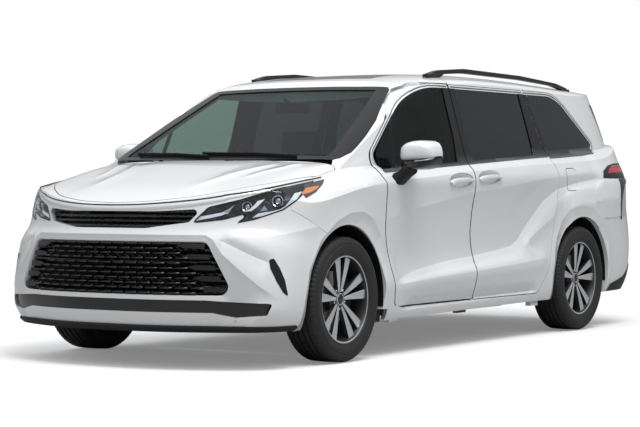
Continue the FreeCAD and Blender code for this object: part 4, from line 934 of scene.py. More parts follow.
def block(name: str, size: Sequence[float], finish: AnyFinish, bevel: float = 0.003,
          place: Optional[Matrix] = None, segments: int = 3) -> bpy.types.Object:
    """A box with rounded edges.

    Args:
        name: the object's name.
        size: its lengths along X, Y and Z.
        finish: the finish it takes.
        bevel: the radius of its edges.
        place: its place and turn.
        segments: faces across each rounded edge.

    Returns:
        The object.
    """
    bm = bmesh.new()
    bmesh.ops.create_cube(bm, size=1.0)
    bmesh.ops.scale(bm, vec=Vector(size), verts=bm.verts)
    if bevel > 0:
        bmesh.ops.bevel(bm, geom=bm.edges[:], offset=bevel, segments=segments, profile=0.5,
                        affect="EDGES")
    if place is not None:
        bmesh.ops.transform(bm, matrix=place, verts=bm.verts)
    mesh = bpy.data.meshes.new(name)
    bm.to_mesh(mesh)
    bm.free()
    obj = linked(name, mesh)
    mesh.materials.append(finish.build())
    shade(mesh, 40)
    return obj


def join(name: str, objects: Sequence[bpy.types.Object]) -> bpy.types.Object:
    """Joins objects into the first one.

    Args:
        name: the name of the result.
        objects: the objects, of which the first stays.

    Returns:
        The joined object.
    """
    with bpy.context.temp_override(active_object=objects[0],
                                   selected_editable_objects=list(objects),
                                   selected_objects=list(objects)):
        bpy.ops.object.join()
    objects[0].name = name
    return objects[0]


# The creases of the painted skin.


@dataclass(frozen=True)
class Fold:
    """A crease of the painted skin along a flat line.

    Its height is largest on the line and fades on both sides, or drops away below the line.
    """

    look: Look
    panels: tuple[str, ...]
    line: tuple[Point2, ...]
    height: float
    above: float
    below: float
    drop: float = 0.0
    fade: float = 0.12

    def flat(self, places: np.ndarray) -> tuple[np.ndarray, np.ndarray]:
        """The flat coordinates of places on the body, with both sides folded onto the left.

        Args:
            places: an array of places in metres.

        Returns:
            Two arrays of coordinates.
        """
        x, y, z = places[:, 0], np.abs(places[:, 1]), places[:, 2]
        if self.look is Look.SIDE:
            return x, z
        if self.look is Look.FRONT:
            return y, z
        if self.look is Look.TOP:
            return x, y
        turn = CORNER_TURN
        return -(x - CORNER_BASE.x) * math.sin(turn) + (y - CORNER_BASE.y) * math.cos(turn), z

    def axes(self, places: np.ndarray) -> tuple[np.ndarray, np.ndarray]:
        """The directions of the two flat coordinates in space.

        Args:
            places: an array of places in metres.

        Returns:
            Two arrays of directions.
        """
        count = len(places)
        side = np.where(places[:, 1] < 0, -1.0, 1.0)
        zero, one = np.zeros(count), np.ones(count)
        up = np.stack([zero, zero, one], axis=1)
        if self.look is Look.SIDE:
            return np.stack([one, zero, zero], axis=1), up
        if self.look is Look.FRONT:
            return np.stack([zero, side, zero], axis=1), up
        if self.look is Look.TOP:
            return np.stack([one, zero, zero], axis=1), np.stack([zero, side, zero], axis=1)
        turn = CORNER_TURN
        return np.stack([-one * math.sin(turn), side * math.cos(turn), zero], axis=1), up

    def relief(self, a: np.ndarray, b: np.ndarray) -> np.ndarray:
        """The crease's height at flat points.

        Args:
            a: first coordinates.
            b: second coordinates.

        Returns:
            Heights in metres.
        """
        knots = np.array(self.line)
        if knots[0, 0] > knots[-1, 0]:
            knots = knots[::-1]
        start, step = knots[:-1], np.diff(knots, axis=0)
        length = np.linalg.norm(step, axis=1)
        unit = step / length[:, None]
        total = np.concatenate([[0.0], np.cumsum(length)])
        rel = np.stack([a, b], axis=1)[:, None, :] - start[None]
        t = np.clip(np.sum(rel * unit[None], axis=2), 0, length[None])
        off = rel - t[..., None] * unit[None]
        away = np.linalg.norm(off, axis=2)
        pick = np.argmin(away, axis=1)
        row = np.arange(len(pick))
        distance = away[row, pick]
        cross = unit[pick, 0] * rel[row, pick, 1] - unit[pick, 1] * rel[row, pick, 0]
        along = (total[pick] + t[row, pick]) / total[-1]
        ends = np.clip(np.minimum(along, 1 - along) / self.fade, 0, 1)
        ends = ends * ends * (3 - 2 * ends)
        upper = cross > 0
        share = np.clip(distance / np.where(upper, self.above, self.below), 0, 1)
        height = self.height * (1 - share) ** 2
        height = height - np.where(upper, 0.0, self.drop * share)
        return height * ends

    def slope(self, places: np.ndarray) -> np.ndarray:
        """The gradient of the crease in space.

        Args:
            places: an array of places in metres.

        Returns:
            An array of gradients.
        """
        a, b = self.flat(places)
        one, two = self.axes(places)
        step = 0.0004
        rise_a = (self.relief(a + step, b) - self.relief(a - step, b)) / (2 * step)
        rise_b = (self.relief(a, b + step) - self.relief(a, b - step)) / (2 * step)
        return one * rise_a[:, None] + two * rise_b[:, None]


DOOR_SIDES = ("front_door", "sliding_door", "body_side", "fuel_door")
FOLDS = (
    Fold(Look.SIDE, DOOR_SIDES + ("front_fenders",),
         ((1.300, 0.790), (1.058, 0.827), (0.734, 0.878), (0.413, 0.921), (0.038, 0.971),
          (-0.497, 1.015), (-1.085, 1.067), (-1.477, 1.091), (-1.840, 1.118)), 0.0042, 0.11, 0.16),
    Fold(Look.SIDE, DOOR_SIDES,
         ((1.069, 0.432), (0.980, 0.466), (0.907, 0.485), (0.756, 0.509), (0.413, 0.543),
          (0.061, 0.566), (-0.258, 0.591), (-0.470, 0.615), (-0.560, 0.650), (-0.729, 0.778),
          (-0.890, 0.899), (-0.995, 0.949), (-1.085, 0.982), (-1.384, 1.028), (-1.800, 1.066)),
          -0.0180, 0.34, 0.110, 0.0, 0.05),
    Fold(Look.SIDE, DOOR_SIDES,
         ((1.060, 0.422), (0.575, 0.447), (0.060, 0.468), (-0.416, 0.489), (-0.795, 0.511),
          (-0.960, 0.516)),
         0.0080, 0.10, 0.14, 0.0, 0.07),
    Fold(Look.SIDE, ("sliding_door", "body_side"),
         ((-0.795, 0.511), (-0.700, 0.575), (-0.670, 0.615), (-0.724, 0.655), (-0.857, 0.719),
          (-1.006, 0.789), (-1.100, 0.850)), 0.0050, 0.10, 0.10, 0.0, 0.18),
    Fold(Look.SIDE, DOOR_SIDES,
         ((0.950, 0.272), (0.819, 0.284), (0.539, 0.290), (0.073, 0.296), (-0.445, 0.302),
          (-0.820, 0.306)),
         -0.0200, 0.075, 0.022, 0.0, 0.08),
    Fold(Look.SIDE, ("body_side", "sliding_door", "rear_bumper"),
         ((-1.020, 0.200), (-1.010, 0.420), (-1.050, 0.620), (-1.144, 0.765), (-1.250, 0.840),
          (-1.440, 0.871), (-1.620, 0.850), (-1.770, 0.765), (-1.870, 0.620), (-1.900, 0.420),
          (-1.900, 0.200)),
         0.0028, 0.10, 0.070, 0.0100, 0.02),
    Fold(Look.SIDE, ("front_fenders", "front_bumper", "body_side"),
         ((2.060, 0.180), (2.048, 0.381), (2.010, 0.546), (1.890, 0.709), (1.730, 0.810),
          (1.580, 0.858), (1.430, 0.862), (1.310, 0.820), (1.210, 0.715), (1.160, 0.560),
          (1.140, 0.400), (1.130, 0.180)),
         0.0028, 0.10, 0.070, 0.0100, 0.02),
    Fold(Look.SIDE, ("front_fenders", "front_door"),
         ((1.900, 0.930), (1.741, 0.974), (1.540, 1.004), (1.344, 1.023), (1.180, 1.030)), 0.0034,
         0.10, 0.09, 0.0, 0.3),
    Fold(Look.CORNER, ("front_bumper",),
         ((-0.185, 0.722), (-0.090, 0.729), (-0.005, 0.734), (0.165, 0.741), (0.294, 0.768),
          (0.440, 0.805)),
         0.0030, 0.090, 0.085, 0.0, 0.16),
    Fold(Look.CORNER, ("front_bumper",),
         ((-0.185, 0.722), (-0.110, 0.690), (-0.045, 0.656), (0.040, 0.618), (0.120, 0.585)),
         -0.0105, 0.060, 0.110, 0.0, 0.16),
    Fold(Look.SIDE, ("body_side", "fuel_door"),
         ((-1.140, 0.985), (-1.400, 1.022), (-1.800, 1.052), (-2.250, 1.072)), 0.0, 0.03, 0.150,
         -0.0340, 0.16),
    Fold(Look.FRONT, ("front_bumper",),
         ((0.968, 0.370), (0.918, 0.426), (0.807, 0.528), (0.693, 0.636), (0.635, 0.716),
          (0.590, 0.742), (0.000, 0.745), (-0.300, 0.745)), 0.0, 0.05, 0.150, 0.0620, 0.10),
    Fold(Look.TOP, ("hood",),
         ((2.330, 0.350), (2.148, 0.374), (1.946, 0.403), (1.739, 0.469), (1.545, 0.530)), 0.0040,
         0.10, 0.14, 0.0, 0.3),
    Fold(Look.TOP, ("hood",),
         ((2.050, 0.520), (1.834, 0.569), (1.658, 0.640), (1.540, 0.700)), 0.0034, 0.07, 0.08, 0.0,
         0.3),
)

# The painted panels and the panes.


def whole(faces: Sequence[bmesh.types.BMFace]) -> list:
    """Faces with their edges and corners."""
    edges = {e for f in faces for e in f.edges}
    return list(edges | {v for f in faces for v in f.verts} | set(faces))


@dataclass
class PanelSkins:
    """The van's painted panels, drawn again with the smooth normals of the body's skins."""

    painted: tuple[str, ...] = (
        "body_side_left", "body_side_right", "roof_panel", "front_fenders", "front_bumper",
        "rear_bumper",
        "sliding_door_left", "sliding_door_right", "hood", "front_door_left", "front_door_right",
        "tailgate",
        "fuel_door")
    glazed: tuple[tuple[str, AnyFinish], ...] = (
        ("windscreen", CLEAR_GLASS), ("front_door_glass_left", CLEAR_GLASS),
        ("front_door_glass_right", CLEAR_GLASS),
        ("side_glass", TINTED_GLASS), ("rear_glass", TINTED_GLASS), ("roof_window", ROOF_GLASS))
    reach: float = 0.0021
    lining_depth: float = 0.030
    grid: float = 0.045
    press_in: float = 0.005
    press_out: float = 0.004
    # Panels whose shut faces take black: painted shade in the shut gaps, partly standing for dark
    # door seals.
    gap_shade_panels: tuple[str, ...] = ("front_door", "sliding_door", "hood", "fuel_door")
    skin_match: float = 0.82
    edge_match: float = 0.5
    inset: float = 0.06
    lining_front: float = FRONT_AXLE - 0.2

    def cut(self, bm: bmesh.types.BMesh, folds: Sequence[Fold]) -> None:
        """Cuts the outer faces along the creases and into a grid.

        Args:
            bm: the panel's mesh.
            folds: its creases.
        """
        bm.verts.index_update()
        near = [any(skin.nearest(v.co, self.reach) for skin in ENVELOPE.skins) for v in bm.verts]
        mark = bm.faces.layers.int.new("outer")
        for face in bm.faces:
            face[mark] = int(all(near[v.index] for v in face.verts))
        for fold in folds:
            for side in (1.0, -1.0):
                for a, b in zip(fold.line, fold.line[1:]):
                    self.cut_along(bm, mark, fold, a, b, side)
        boxes = [f for f in bm.faces if f[mark]]
        if not boxes:
            return
        for axis in (0, 1, 2):
            if axis == (2 if folds[0].look is Look.TOP else 1):
                continue
            levels = [v.co[axis] for f in boxes for v in f.verts]
            low, high = min(levels), max(levels)
            count = int((high - low) / self.grid)
            for k in range(1, count):
                level = low + (high - low) * k / count
                geom = self.crossing(bm, mark, axis, level)
                point, normal = Vector((0, 0, 0)), Vector((0, 0, 0))
                point[axis], normal[axis] = level, 1.0
                if geom:
                    bmesh.ops.bisect_plane(bm, geom=geom, plane_co=point, plane_no=normal)

    def crossing(self, bm: bmesh.types.BMesh, mark: object, axis: int, level: float) -> list:
        """The outer faces that a level crosses, with their edges and corners."""
        faces = []
        for f in bm.faces:
            if f[mark]:
                places = [v.co[axis] for v in f.verts]
                if min(places) < level - 1e-6 and max(places) > level + 1e-6:
                    faces.append(f)
        return whole(faces)

    def cut_along(self, bm: bmesh.types.BMesh, mark: object, fold: Fold, a: Point2, b: Point2,
                  side: float) -> None:
        """Cuts the outer faces near one piece of a crease.

        Args:
            bm: the panel's mesh.
            mark: the layer that marks outer faces.
            fold: the crease.
            a: one end.
            b: the other end.
            side: 1 for the left side of the van and -1 for the right.
        """
        one, two = fold.axes(np.array([[0.0, side, 0.0]]))
        base = Vector((CORNER_BASE.x, CORNER_BASE.y * side,
                       0)) if fold.look is Look.CORNER else Vector((0, 0, 0))
        axis_a, axis_b = Vector(one[0]), Vector(two[0])
        start = base + axis_a * a[0] + axis_b * a[1]
        along = (axis_a * (b[0] - a[0]) + axis_b * (b[1] - a[1]))
        length = along.length
        along.normalize()
        normal = along.cross(axis_a.cross(axis_b)).normalized()
        faces = []
        for f in bm.faces:
            if not f[mark] or f.calc_center_median().y * side < 0:
                continue
            gaps = [(v.co - start).dot(normal) for v in f.verts]
            runs = [(v.co - start).dot(along) for v in f.verts]
            if min(gaps) < -1e-6 and max(gaps) > 1e-6 and max(runs) > 0 and min(runs) < length:
                faces.append(f)
        geom = whole(faces)
        if geom:
            bmesh.ops.bisect_plane(bm, geom=geom, plane_co=start, plane_no=normal)

    def dress(self, node: str, finishes: Sequence[AnyFinish]) -> bpy.types.Object:
        """Draws one panel again.

        Args:
            node: the panel's node.
            finishes: the outer finish, then the lining and, if it has them, the black of its shut
                faces, a painted shade in the shut gaps that partly stands for dark door seals.

        Returns:
            The new object.
        """
        source = frame["nodes"][node]
        mesh = source.data.copy()
        mesh.name = node + "_skin"
        bm = bmesh.new()
        bm.from_mesh(mesh)
        bmesh.ops.remove_doubles(bm, verts=bm.verts, dist=WELD)
        folds = [fold for fold in FOLDS if node.startswith(fold.panels)]
        if folds:
            self.cut(bm, folds)
        bm.to_mesh(mesh)
        bm.free()
        mesh.materials.clear()
        for finish in finishes:
            mesh.materials.append(finish.build())
        obj = linked(node + "_skin", mesh)
        shade(mesh, 25)
        near: list[list[Vector]] = []
        for v in mesh.vertices:
            found = [skin.nearest(v.co, self.reach) for skin in ENVELOPE.skins]
            near.append([f[1] for f in found if f is not None])
        normals = []
        for poly in mesh.polygons:
            flat = poly.normal
            corners = [mesh.loops[k].vertex_index for k in poly.loop_indices]
            inner = not any(near[v] for v in corners)
            if len(finishes) > 1:
                poly.material_index = 1 if inner and self.is_lining(poly.center) else 0
            outside = any(n.dot(flat) > self.edge_match for v in corners for n in near[v])
            # Painted shade: shut faces in the gaps take the black finish, partly standing for dark
            # door seals.
            if len(finishes) > 2 and not inner and not outside:
                poly.material_index = 2
            for v in corners:
                best, score = Vector((0, 0, 0)), self.skin_match
                for normal in near[v]:
                    if normal.dot(flat) > score:
                        best, score = normal, normal.dot(flat)
                normals.append(tuple(best))
        mesh.normals_split_custom_set(self.folded(mesh, np.array(normals),
                                                  folds) if folds else normals)
        self.press(mesh, near, folds)
        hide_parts(node)
        attach(obj, source["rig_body"])
        return obj

    def folded(self, mesh: bpy.types.Mesh, normals: np.ndarray, folds: Sequence[Fold]) -> list:
        """Tilts the smooth normals by the slopes of the creases.

        Args:
            mesh: the panel's mesh.
            normals: the smooth normal of each face corner, or zero.
            folds: its creases.

        Returns:
            The tilted normals.
        """
        places = np.zeros((len(normals), 3))
        for poly in mesh.polygons:
            for k in poly.loop_indices:
                co = mesh.vertices[mesh.loops[k].vertex_index].co
                places[k] = co + (poly.center - co) * self.inset
        smooth = np.linalg.norm(normals, axis=1) > 0.5
        tilt = np.zeros_like(normals)
        for fold in folds:
            tilt[smooth] += fold.slope(places[smooth])
        result = normals - tilt
        length = np.linalg.norm(result, axis=1, keepdims=True)
        result = np.where(smooth[:, None], result / np.maximum(length, 1e-9), normals)
        return result.tolist()

    def press(self, mesh: bpy.types.Mesh, near: Sequence[Sequence[Vector]],
              folds: Sequence[Fold]) -> None:
        """Moves the outer corners by the heights of the creases.

        Args:
            mesh: the panel's mesh.
            near: the normals of the skins close to each corner.
            folds: its creases.
        """
        places = np.array([v.co for v in mesh.vertices])
        shift = np.zeros(len(places))
        for fold in folds:
            a, b = fold.flat(places)
            shift += fold.relief(a, b)
        shift = np.clip(shift, -self.press_in, self.press_out)
        for v, normals, move in zip(mesh.vertices, near, shift):
            if normals:
                v.co += normals[0] * float(move)

    def is_lining(self, place: Vector) -> bool:
        """Whether a face lies on the cabin side of a wall."""
        for skin in ENVELOPE.skins:
            if skin.tree.find_nearest(place, self.lining_depth)[0] is not None:
                return False
        return place.x < self.lining_front

    def build(self) -> None:
        """Draws all panels and panes."""
        for node in self.painted:
            cover = (PAINT, HEADLINER if node == "roof_panel" else LINING)
            # Listed panels get black shut faces as a third finish, a painted shade in the gaps.
            self.dress(node, cover + (BLACK_PLASTIC,) if node.startswith(self.gap_shade_panels) else cover)
            log.info("panel %s", node)
        for node, finish in self.glazed:
            self.dress(node, (finish,))
            log.info("pane %s", node)


@dataclass
class PlainParts:
    """Pieces that keep the source's form and take a finish here."""

    finishes: tuple[tuple[str, AnyFinish], ...] = (
        ("arch_liners", BLACK_PLASTIC), ("cowl_panel", BLACK_PLASTIC), ("engine_block", CAST_ALLOY),
        ("exhaust", PIPE_STEEL), ("floor_pan", UNDERBODY), ("front_subframe", CAST_DARK),
        ("rear_axle", CAST_DARK),
        ("fuel_tank", BLACK_PLASTIC), ("knuckle_left", CAST_DARK), ("knuckle_right", CAST_DARK),
        ("lower_grille", GLOSS_BLACK), ("upper_grille", GLOSS_BLACK), ("roof_rails", RAIL_BLACK),
        ("steering_wheel", DASH_SKIN), ("dashboard", DASH_SKIN), ("front_seats", SEAT_LEATHER),
        ("rear_seats", SEAT_LEATHER), ("tail_lamps", SMOKE_LENS))

    def build(self) -> None:
        """Copies each piece with smooth shading and its finish."""
        for node, finish in self.finishes:
            source = frame["nodes"][node]
            mesh = source.data.copy()
            bm = bmesh.new()
            bm.from_mesh(mesh)
            bmesh.ops.remove_doubles(bm, verts=bm.verts, dist=WELD)
            bm.to_mesh(mesh)
            bm.free()
            mesh.materials.clear()
            mesh.materials.append(finish.build())
            shade(mesh, 28)
            obj = linked(node + "_dressed", mesh)
            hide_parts(node)
            attach(obj, source["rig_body"])
            log.info("piece %s", node)


# The outline of the side windows and the seams that cross it.

WINDOW_LINE = (
    (DOOR_FRONT - 0.062, 1.092, 0.030), (DOOR_FRONT + 0.010, 1.188, 0.060),
    (FRONT_AXLE - 1.007, 1.640, 1.500), (REAR_AXLE + 0.027, 1.636, 0.450),
    (REAR_AXLE - 0.420, 1.294, 0.045), (REAR_AXLE - 0.366, 1.246, 0.036))


def front_seam(level: float) -> tuple[float, float]:
    """The two edges of the seam behind the front door at a height."""
    rise = max(0.0, level - 1.15) / 0.45
    return 0.0700 + 0.012 * rise, 0.0618 + 0.010 * rise


def rear_seam(level: float) -> tuple[float, float]:
    """The two edges of the seam behind the sliding door at a height."""
    edge = -1.097 + (level - 1.15) * 0.3156
    return edge - 0.0004, edge - 0.0066


def spread(points: Sequence[Point2], distance: float) -> list[Point2]:
    """A closed outline moved outward by a distance.

    Args:
        points: the outline.
        distance: how far it moves; a negative value moves it inward.

    Returns:
        The moved outline.
    """
    pairs = zip([points[-1], *points], points)
    area = sum(p[0] * q[1] - q[0] * p[1] for p, q in pairs)
    turn = 1.0 if area > 0 else -1.0
    moved = []
    count = len(points)
    for k in range(count):
        before, after = points[k - 1], points[(k + 1) % count]
        along = Vector((after[0] - before[0], after[1] - before[1]))
        if along.length < 1e-9:
            moved.append(points[k])
            continue
        along.normalize()
        moved.append((points[k][0] + along.y * turn * distance,
                      points[k][1] - along.x * turn * distance))
    return moved


def spaced(points: Sequence[Point2], step: float) -> list[Point2]:
    """Points at equal distances along a line."""
    lengths = [0.0]
    for a, b in zip(points, points[1:]):
        lengths.append(lengths[-1] + math.dist(a, b))
    count = max(2, int(round(lengths[-1] / step)) + 1)
    marks = np.linspace(0, lengths[-1], count)
    return list(zip(np.interp(marks, lengths, [p[0] for p in points]).tolist(),
                    np.interp(marks, lengths, [p[1] for p in points]).tolist()))


def loft(name: str, rings: Sequence[Sequence[Vector]], finish: AnyFinish,
         angle: float = 38.0) -> bpy.types.Object:
    """A closed skin through rings of the same number of points.

    Args:
        name: the object's name.
        rings: the rings in order.
        finish: the finish it takes.
        angle: the edge angle above which an edge stays sharp.

    Returns:
        The object.
    """
    wide = len(rings[0])
    verts = [p for ring in rings for p in ring]
    faces = [list(range(wide))[::-1], [(len(rings) - 1) * wide + s for s in range(wide)]]
    for k in range(len(rings) - 1):
        for s in range(wide):
            t = (s + 1) % wide
            faces.append([k * wide + s, k * wide + t, (k + 1) * wide + t, (k + 1) * wide + s])
    return closed_object(name, verts, faces, finish, angle)


def strip_on_body(name: str, line: Sequence[Point2], look: Look, half: float, proud: float,
                  finish: AnyFinish,
                  lift: float = 0.0, sizes: Optional[Sequence[float]] = None, closed: bool = False,
                  round_top: bool = True) -> bpy.types.Object:
    """A raised strip that follows a flat line on the body.

    Args:
        name: the object's name.
        line: the line in the plane of view.
        look: the direction of view.
        half: half its width.
        proud: how far it stands out.
        finish: the finish it takes.
        lift: how far its base lies above the body.
        sizes: its scale at each point.
        closed: whether the line is a ring.
        round_top: whether the top is crowned.

    Returns:
        The object.
    """
    landed = [land(look, a, b) for a, b in line]
    path = [p + n * lift for p, n in landed]
    base = -0.004
    if round_top:
        section = [(-half, base), (half, base), (half * 0.92, proud * 0.55),
                   (half * 0.55, proud * 0.92), (0, proud), (-half * 0.55, proud * 0.92),
                   (-half * 0.92, proud * 0.55)]
    else:
        section = [(-half, base), (half, base), (half * 0.8, proud), (-half * 0.8, proud)]
    return sweep(name, path, [n for _, n in landed], section, finish, closed, sizes)


def both_sides(obj: bpy.types.Object, body: str,
               other: Optional[str] = None) -> None:
    """Attaches a left-hand piece and makes and attaches its right-hand twin.

    Args:
        obj: the piece on the left.
        body: its body.
        other: the body on the right, if it differs.
    """
    twin = mirrored(obj, obj.name + "_right")
    attach(obj, body)
    attach(twin, other or body.replace("_left", "_right"))


@dataclass
class WindowTrim:
    """The bright strip round the side windows, the dark lines beside it and the belt strip."""

    step: float = 0.022
    bright_half: float = 0.0055
    bright_proud: float = 0.004
    bright_offset: float = 0.0075
    dark_offset: float = 0.0155
    dark_half: float = 0.0022
    seal_offset: float = 0.0005
    seal_half: float = 0.0030
    seal_proud: float = 0.0025

    def upper_line(self, offset: float) -> list[Point2]:
        """The line from the front lower corner over the glass to the rear lower corner."""
        ring = spread(rounded(WINDOW_LINE, 8), offset)
        lows = min(range(len(ring)), key=lambda k: math.dist(ring[k],
                                                             (WINDOW_LINE[0][0] + 0.02, 1.10)))
        ordered = ring[lows:] + ring[:lows]
        if ordered[1][0] < ordered[0][0] - 0.3:
            ordered = [ordered[0]] + ordered[:0:-1]
        end = max(k for k, p in enumerate(ordered) if p[0] < REAR_AXLE - 0.30 and p[1] > 1.238)
        return spaced(ordered[:end + 1], self.step)

    def runs(self, line: Sequence[Point2]) -> list[tuple[str, list[Point2]]]:
        """Cuts a line at the seams of the doors.

        Args:
            line: the whole line.

        Returns:
            A body and a line for each run.
        """
        parts: dict[str, list[Point2]] = {"front": [], "middle": [], "rear": []}
        for x, z in line:
            if x > front_seam(z)[0]:
                parts["front"].append((x, z))
            elif front_seam(z)[1] > x > rear_seam(z)[0]:
                parts["middle"].append((x, z))
            elif x < rear_seam(z)[1]:
                parts["rear"].append((x, z))
        return [("front_door_left" if key == "front" else "body", run) for key,
                run in parts.items() if len(run) > 1]

    def belt(self, low: float, high: float) -> list[tuple[str, list[Point2]]]:
        """Outlines of the dark strip below the glass, one for each panel.

        Args:
            low: how far it reaches below the glass.
            high: how far it reaches above the glass edge.

        Returns:
            A body and an outline for each.
        """
        front, rear = WINDOW_LINE[0], WINDOW_LINE[5]
        slope = (rear[1] - front[1]) / (rear[0] - front[0])

        def level(x: float) -> float:
            """The height of the glass edge at a place along the van."""
            return front[1] + (x - front[0]) * slope

        spans = (("front_door_left", 1.100, front_seam(1.15)[0], low, high),
                 ("body", front_seam(1.15)[1], -1.088, low, high),
                 ("body", -1.108, -1.812, low + 0.010, high + 0.016))
        result = []
        for body, x0, x1, under, over in spans:
            result.append((body, [(x0, level(x0) - under),
                                  (x0 + 0.010 * (x0 > 1), level(x0) + over), (x1, level(x1) + over),
                                  (x1, level(x1) - under)]))
        return result

    def build(self) -> None:
        """Makes the strips on both sides."""
        for body, run in self.runs(self.upper_line(self.bright_offset)):
            strip = strip_on_body("window_strip", run, Look.SIDE, self.bright_half,
                                  self.bright_proud, BRIGHT_TRIM)
            both_sides(strip, body)
        for offset, half in ((self.dark_offset, self.dark_half),
                             (self.seal_offset, self.seal_half)):
            for body, run in self.runs(self.upper_line(offset)):
                if body != "body" and offset > 0.01:
                    continue
                line = strip_on_body("window_seal", run, Look.SIDE, half, self.seal_proud,
                                     GLOSS_BLACK)
                both_sides(line, body)
        for body, outline in self.belt(0.004, 0.017):
            both_sides(drape("belt_strip", outline, Look.SIDE, GLOSS_BLACK, 0.003, 0.004, 0.05),
                       body)
        log.info("window trim")


@dataclass
class PillarCovers:
    """The dark covers on the window pillars and round the windscreen."""

    lift: float = 0.0022
    screen_side: tuple[Point2, ...] = (
        (0.600, 1.622), (0.650, 1.618), (0.672, 1.600), (0.731, 1.498), (0.786, 1.403),
        (0.819, 1.312), (0.836, 1.248), (0.843, 1.205), (0.823, 1.172), (0.790, 1.160),
        (0.745, 1.162), (0.740, 1.225), (0.710, 1.300), (0.675, 1.400), (0.635, 1.500),
        (0.592, 1.600))
    screen_top: tuple[Point2, ...] = (
        (-0.610, 1.600), (-0.300, 1.607), (0.000, 1.609), (0.300, 1.607), (0.610, 1.600),
        (0.620, 1.621), (0.300, 1.629), (0.000, 1.631), (-0.300, 1.629), (-0.620, 1.621))
    screen_foot: tuple[Point2, ...] = (
        (-0.760, 1.164), (0.760, 1.164), (0.760, 1.184), (0.400, 1.190), (-0.400, 1.190),
        (-0.760, 1.184))
    fin: tuple[Point2, ...] = (
        (-2.045, 1.590), (-2.100, 1.500), (-2.175, 1.400), (-2.230, 1.330), (-2.262, 1.330),
        (-2.240, 1.450), (-2.190, 1.580))

    def outlines(self) -> list[tuple[str, list[Point2]]]:
        """A body and a side-view outline for each cover."""
        top, low = 1.630, 1.168
        mid = (top + low) / 2
        glass = {"door_rear": (0.160, 0.186), "slide_front": (0.000, -0.016),
                 "slide_rear": (-0.880, -0.905),
                 "quarter": (-1.008, -1.130)}
        front = [(glass["door_rear"][1], low - 0.012), (glass["door_rear"][0], 1.30),
                 (glass["door_rear"][0], top),
                 (front_seam(top)[0] + 0.001, top), (front_seam(mid)[0], mid),
                 (front_seam(low)[0], low - 0.016)]
        slide = [(front_seam(low)[1], low - 0.016), (front_seam(mid)[1], mid),
                 (front_seam(top)[1], top),
                 (glass["slide_front"][0], top), (glass["slide_front"][0], 1.30),
                 (glass["slide_front"][1], low - 0.012)]
        rear_low = 1.205
        back = [(glass["slide_rear"][1], rear_low), (glass["slide_rear"][0], top - 0.002),
                (rear_seam(top)[0], top - 0.002),
                (rear_seam(rear_low)[0], rear_low)]
        quarter = [(rear_seam(1.21)[1], 1.210), (rear_seam(top)[1], top - 0.004),
                   (rear_seam(top)[1] - 0.045, top - 0.004), (rear_seam(1.21)[1] - 0.040, 1.215)]
        divider = [(0.956, 1.106), (0.918, 1.106), (0.842, 1.418), (0.882, 1.396)]
        return [("front_door_left", front), ("body", slide), ("body", back), ("body", quarter),
                ("front_door_left", divider)]

    def build(self) -> None:
        """Makes the covers on both sides and the border of the windscreen."""
        for body, outline in self.outlines():
            both_sides(drape("pillar_cover", outline, Look.SIDE, COVER_BLACK, self.lift, 0.006,
                             0.06), body)
        for name, outline in (("screen_side", self.screen_side), ("screen_top", self.screen_top),
                              ("screen_foot", self.screen_foot)):
            cover = drape(name, outline, Look.FRONT, COVER_BLACK, self.lift, 0.004, 0.05)
            if name == "screen_side":
                both_sides(cover, "body")
            else:
                attach(cover, "body")
        both_sides(drape("rear_fin", self.fin, Look.SIDE, COVER_BLACK, self.lift, 0.004, 0.04),
                   "body")
        log.info("pillar covers")


@dataclass
class DoorGrips:
    """The smooth grips that lie over the bars in the finger cups of the doors."""

    length: float = 0.300
    drop: float = 0.008
    half: float = 0.0175
    proud: float = 0.021

    def grip(self, name: str, front_x: float, level: float, slope: float, body: str) -> None:
        """One grip and its twin.

        Args:
            name: the object's name.
            front_x: the front end of the cup.
            level: the height of the cup's centre.
            slope: the fall towards the front in degrees.
            body: the body on the left.
        """
        centre = front_x - self.length / 2
        reach = self.length / 2 - 0.004
        lean = math.tan(math.radians(slope))
        line, sizes = [], []
        for k in range(19):
            t = -1 + k / 9
            line.append((centre + t * reach,
                         level - self.drop - t * reach * lean + 0.004 * (1 - t * t)))
            sizes.append(0.35 + 0.65 * (1 - abs(t) ** 3.2))
        bar = strip_on_body(name, line, Look.SIDE, self.half, self.proud, PAINT, 0.0, sizes)
        both_sides(bar, body)

    def build(self) -> None:
        """Makes the four grips."""
        self.grip("front_grip", PILLAR_B + 0.336, 1.046, 3.0, "front_door_left")
        self.grip("sliding_grip", PILLAR_B - 0.040, 1.066, 3.0, "body")
        log.info("door grips")


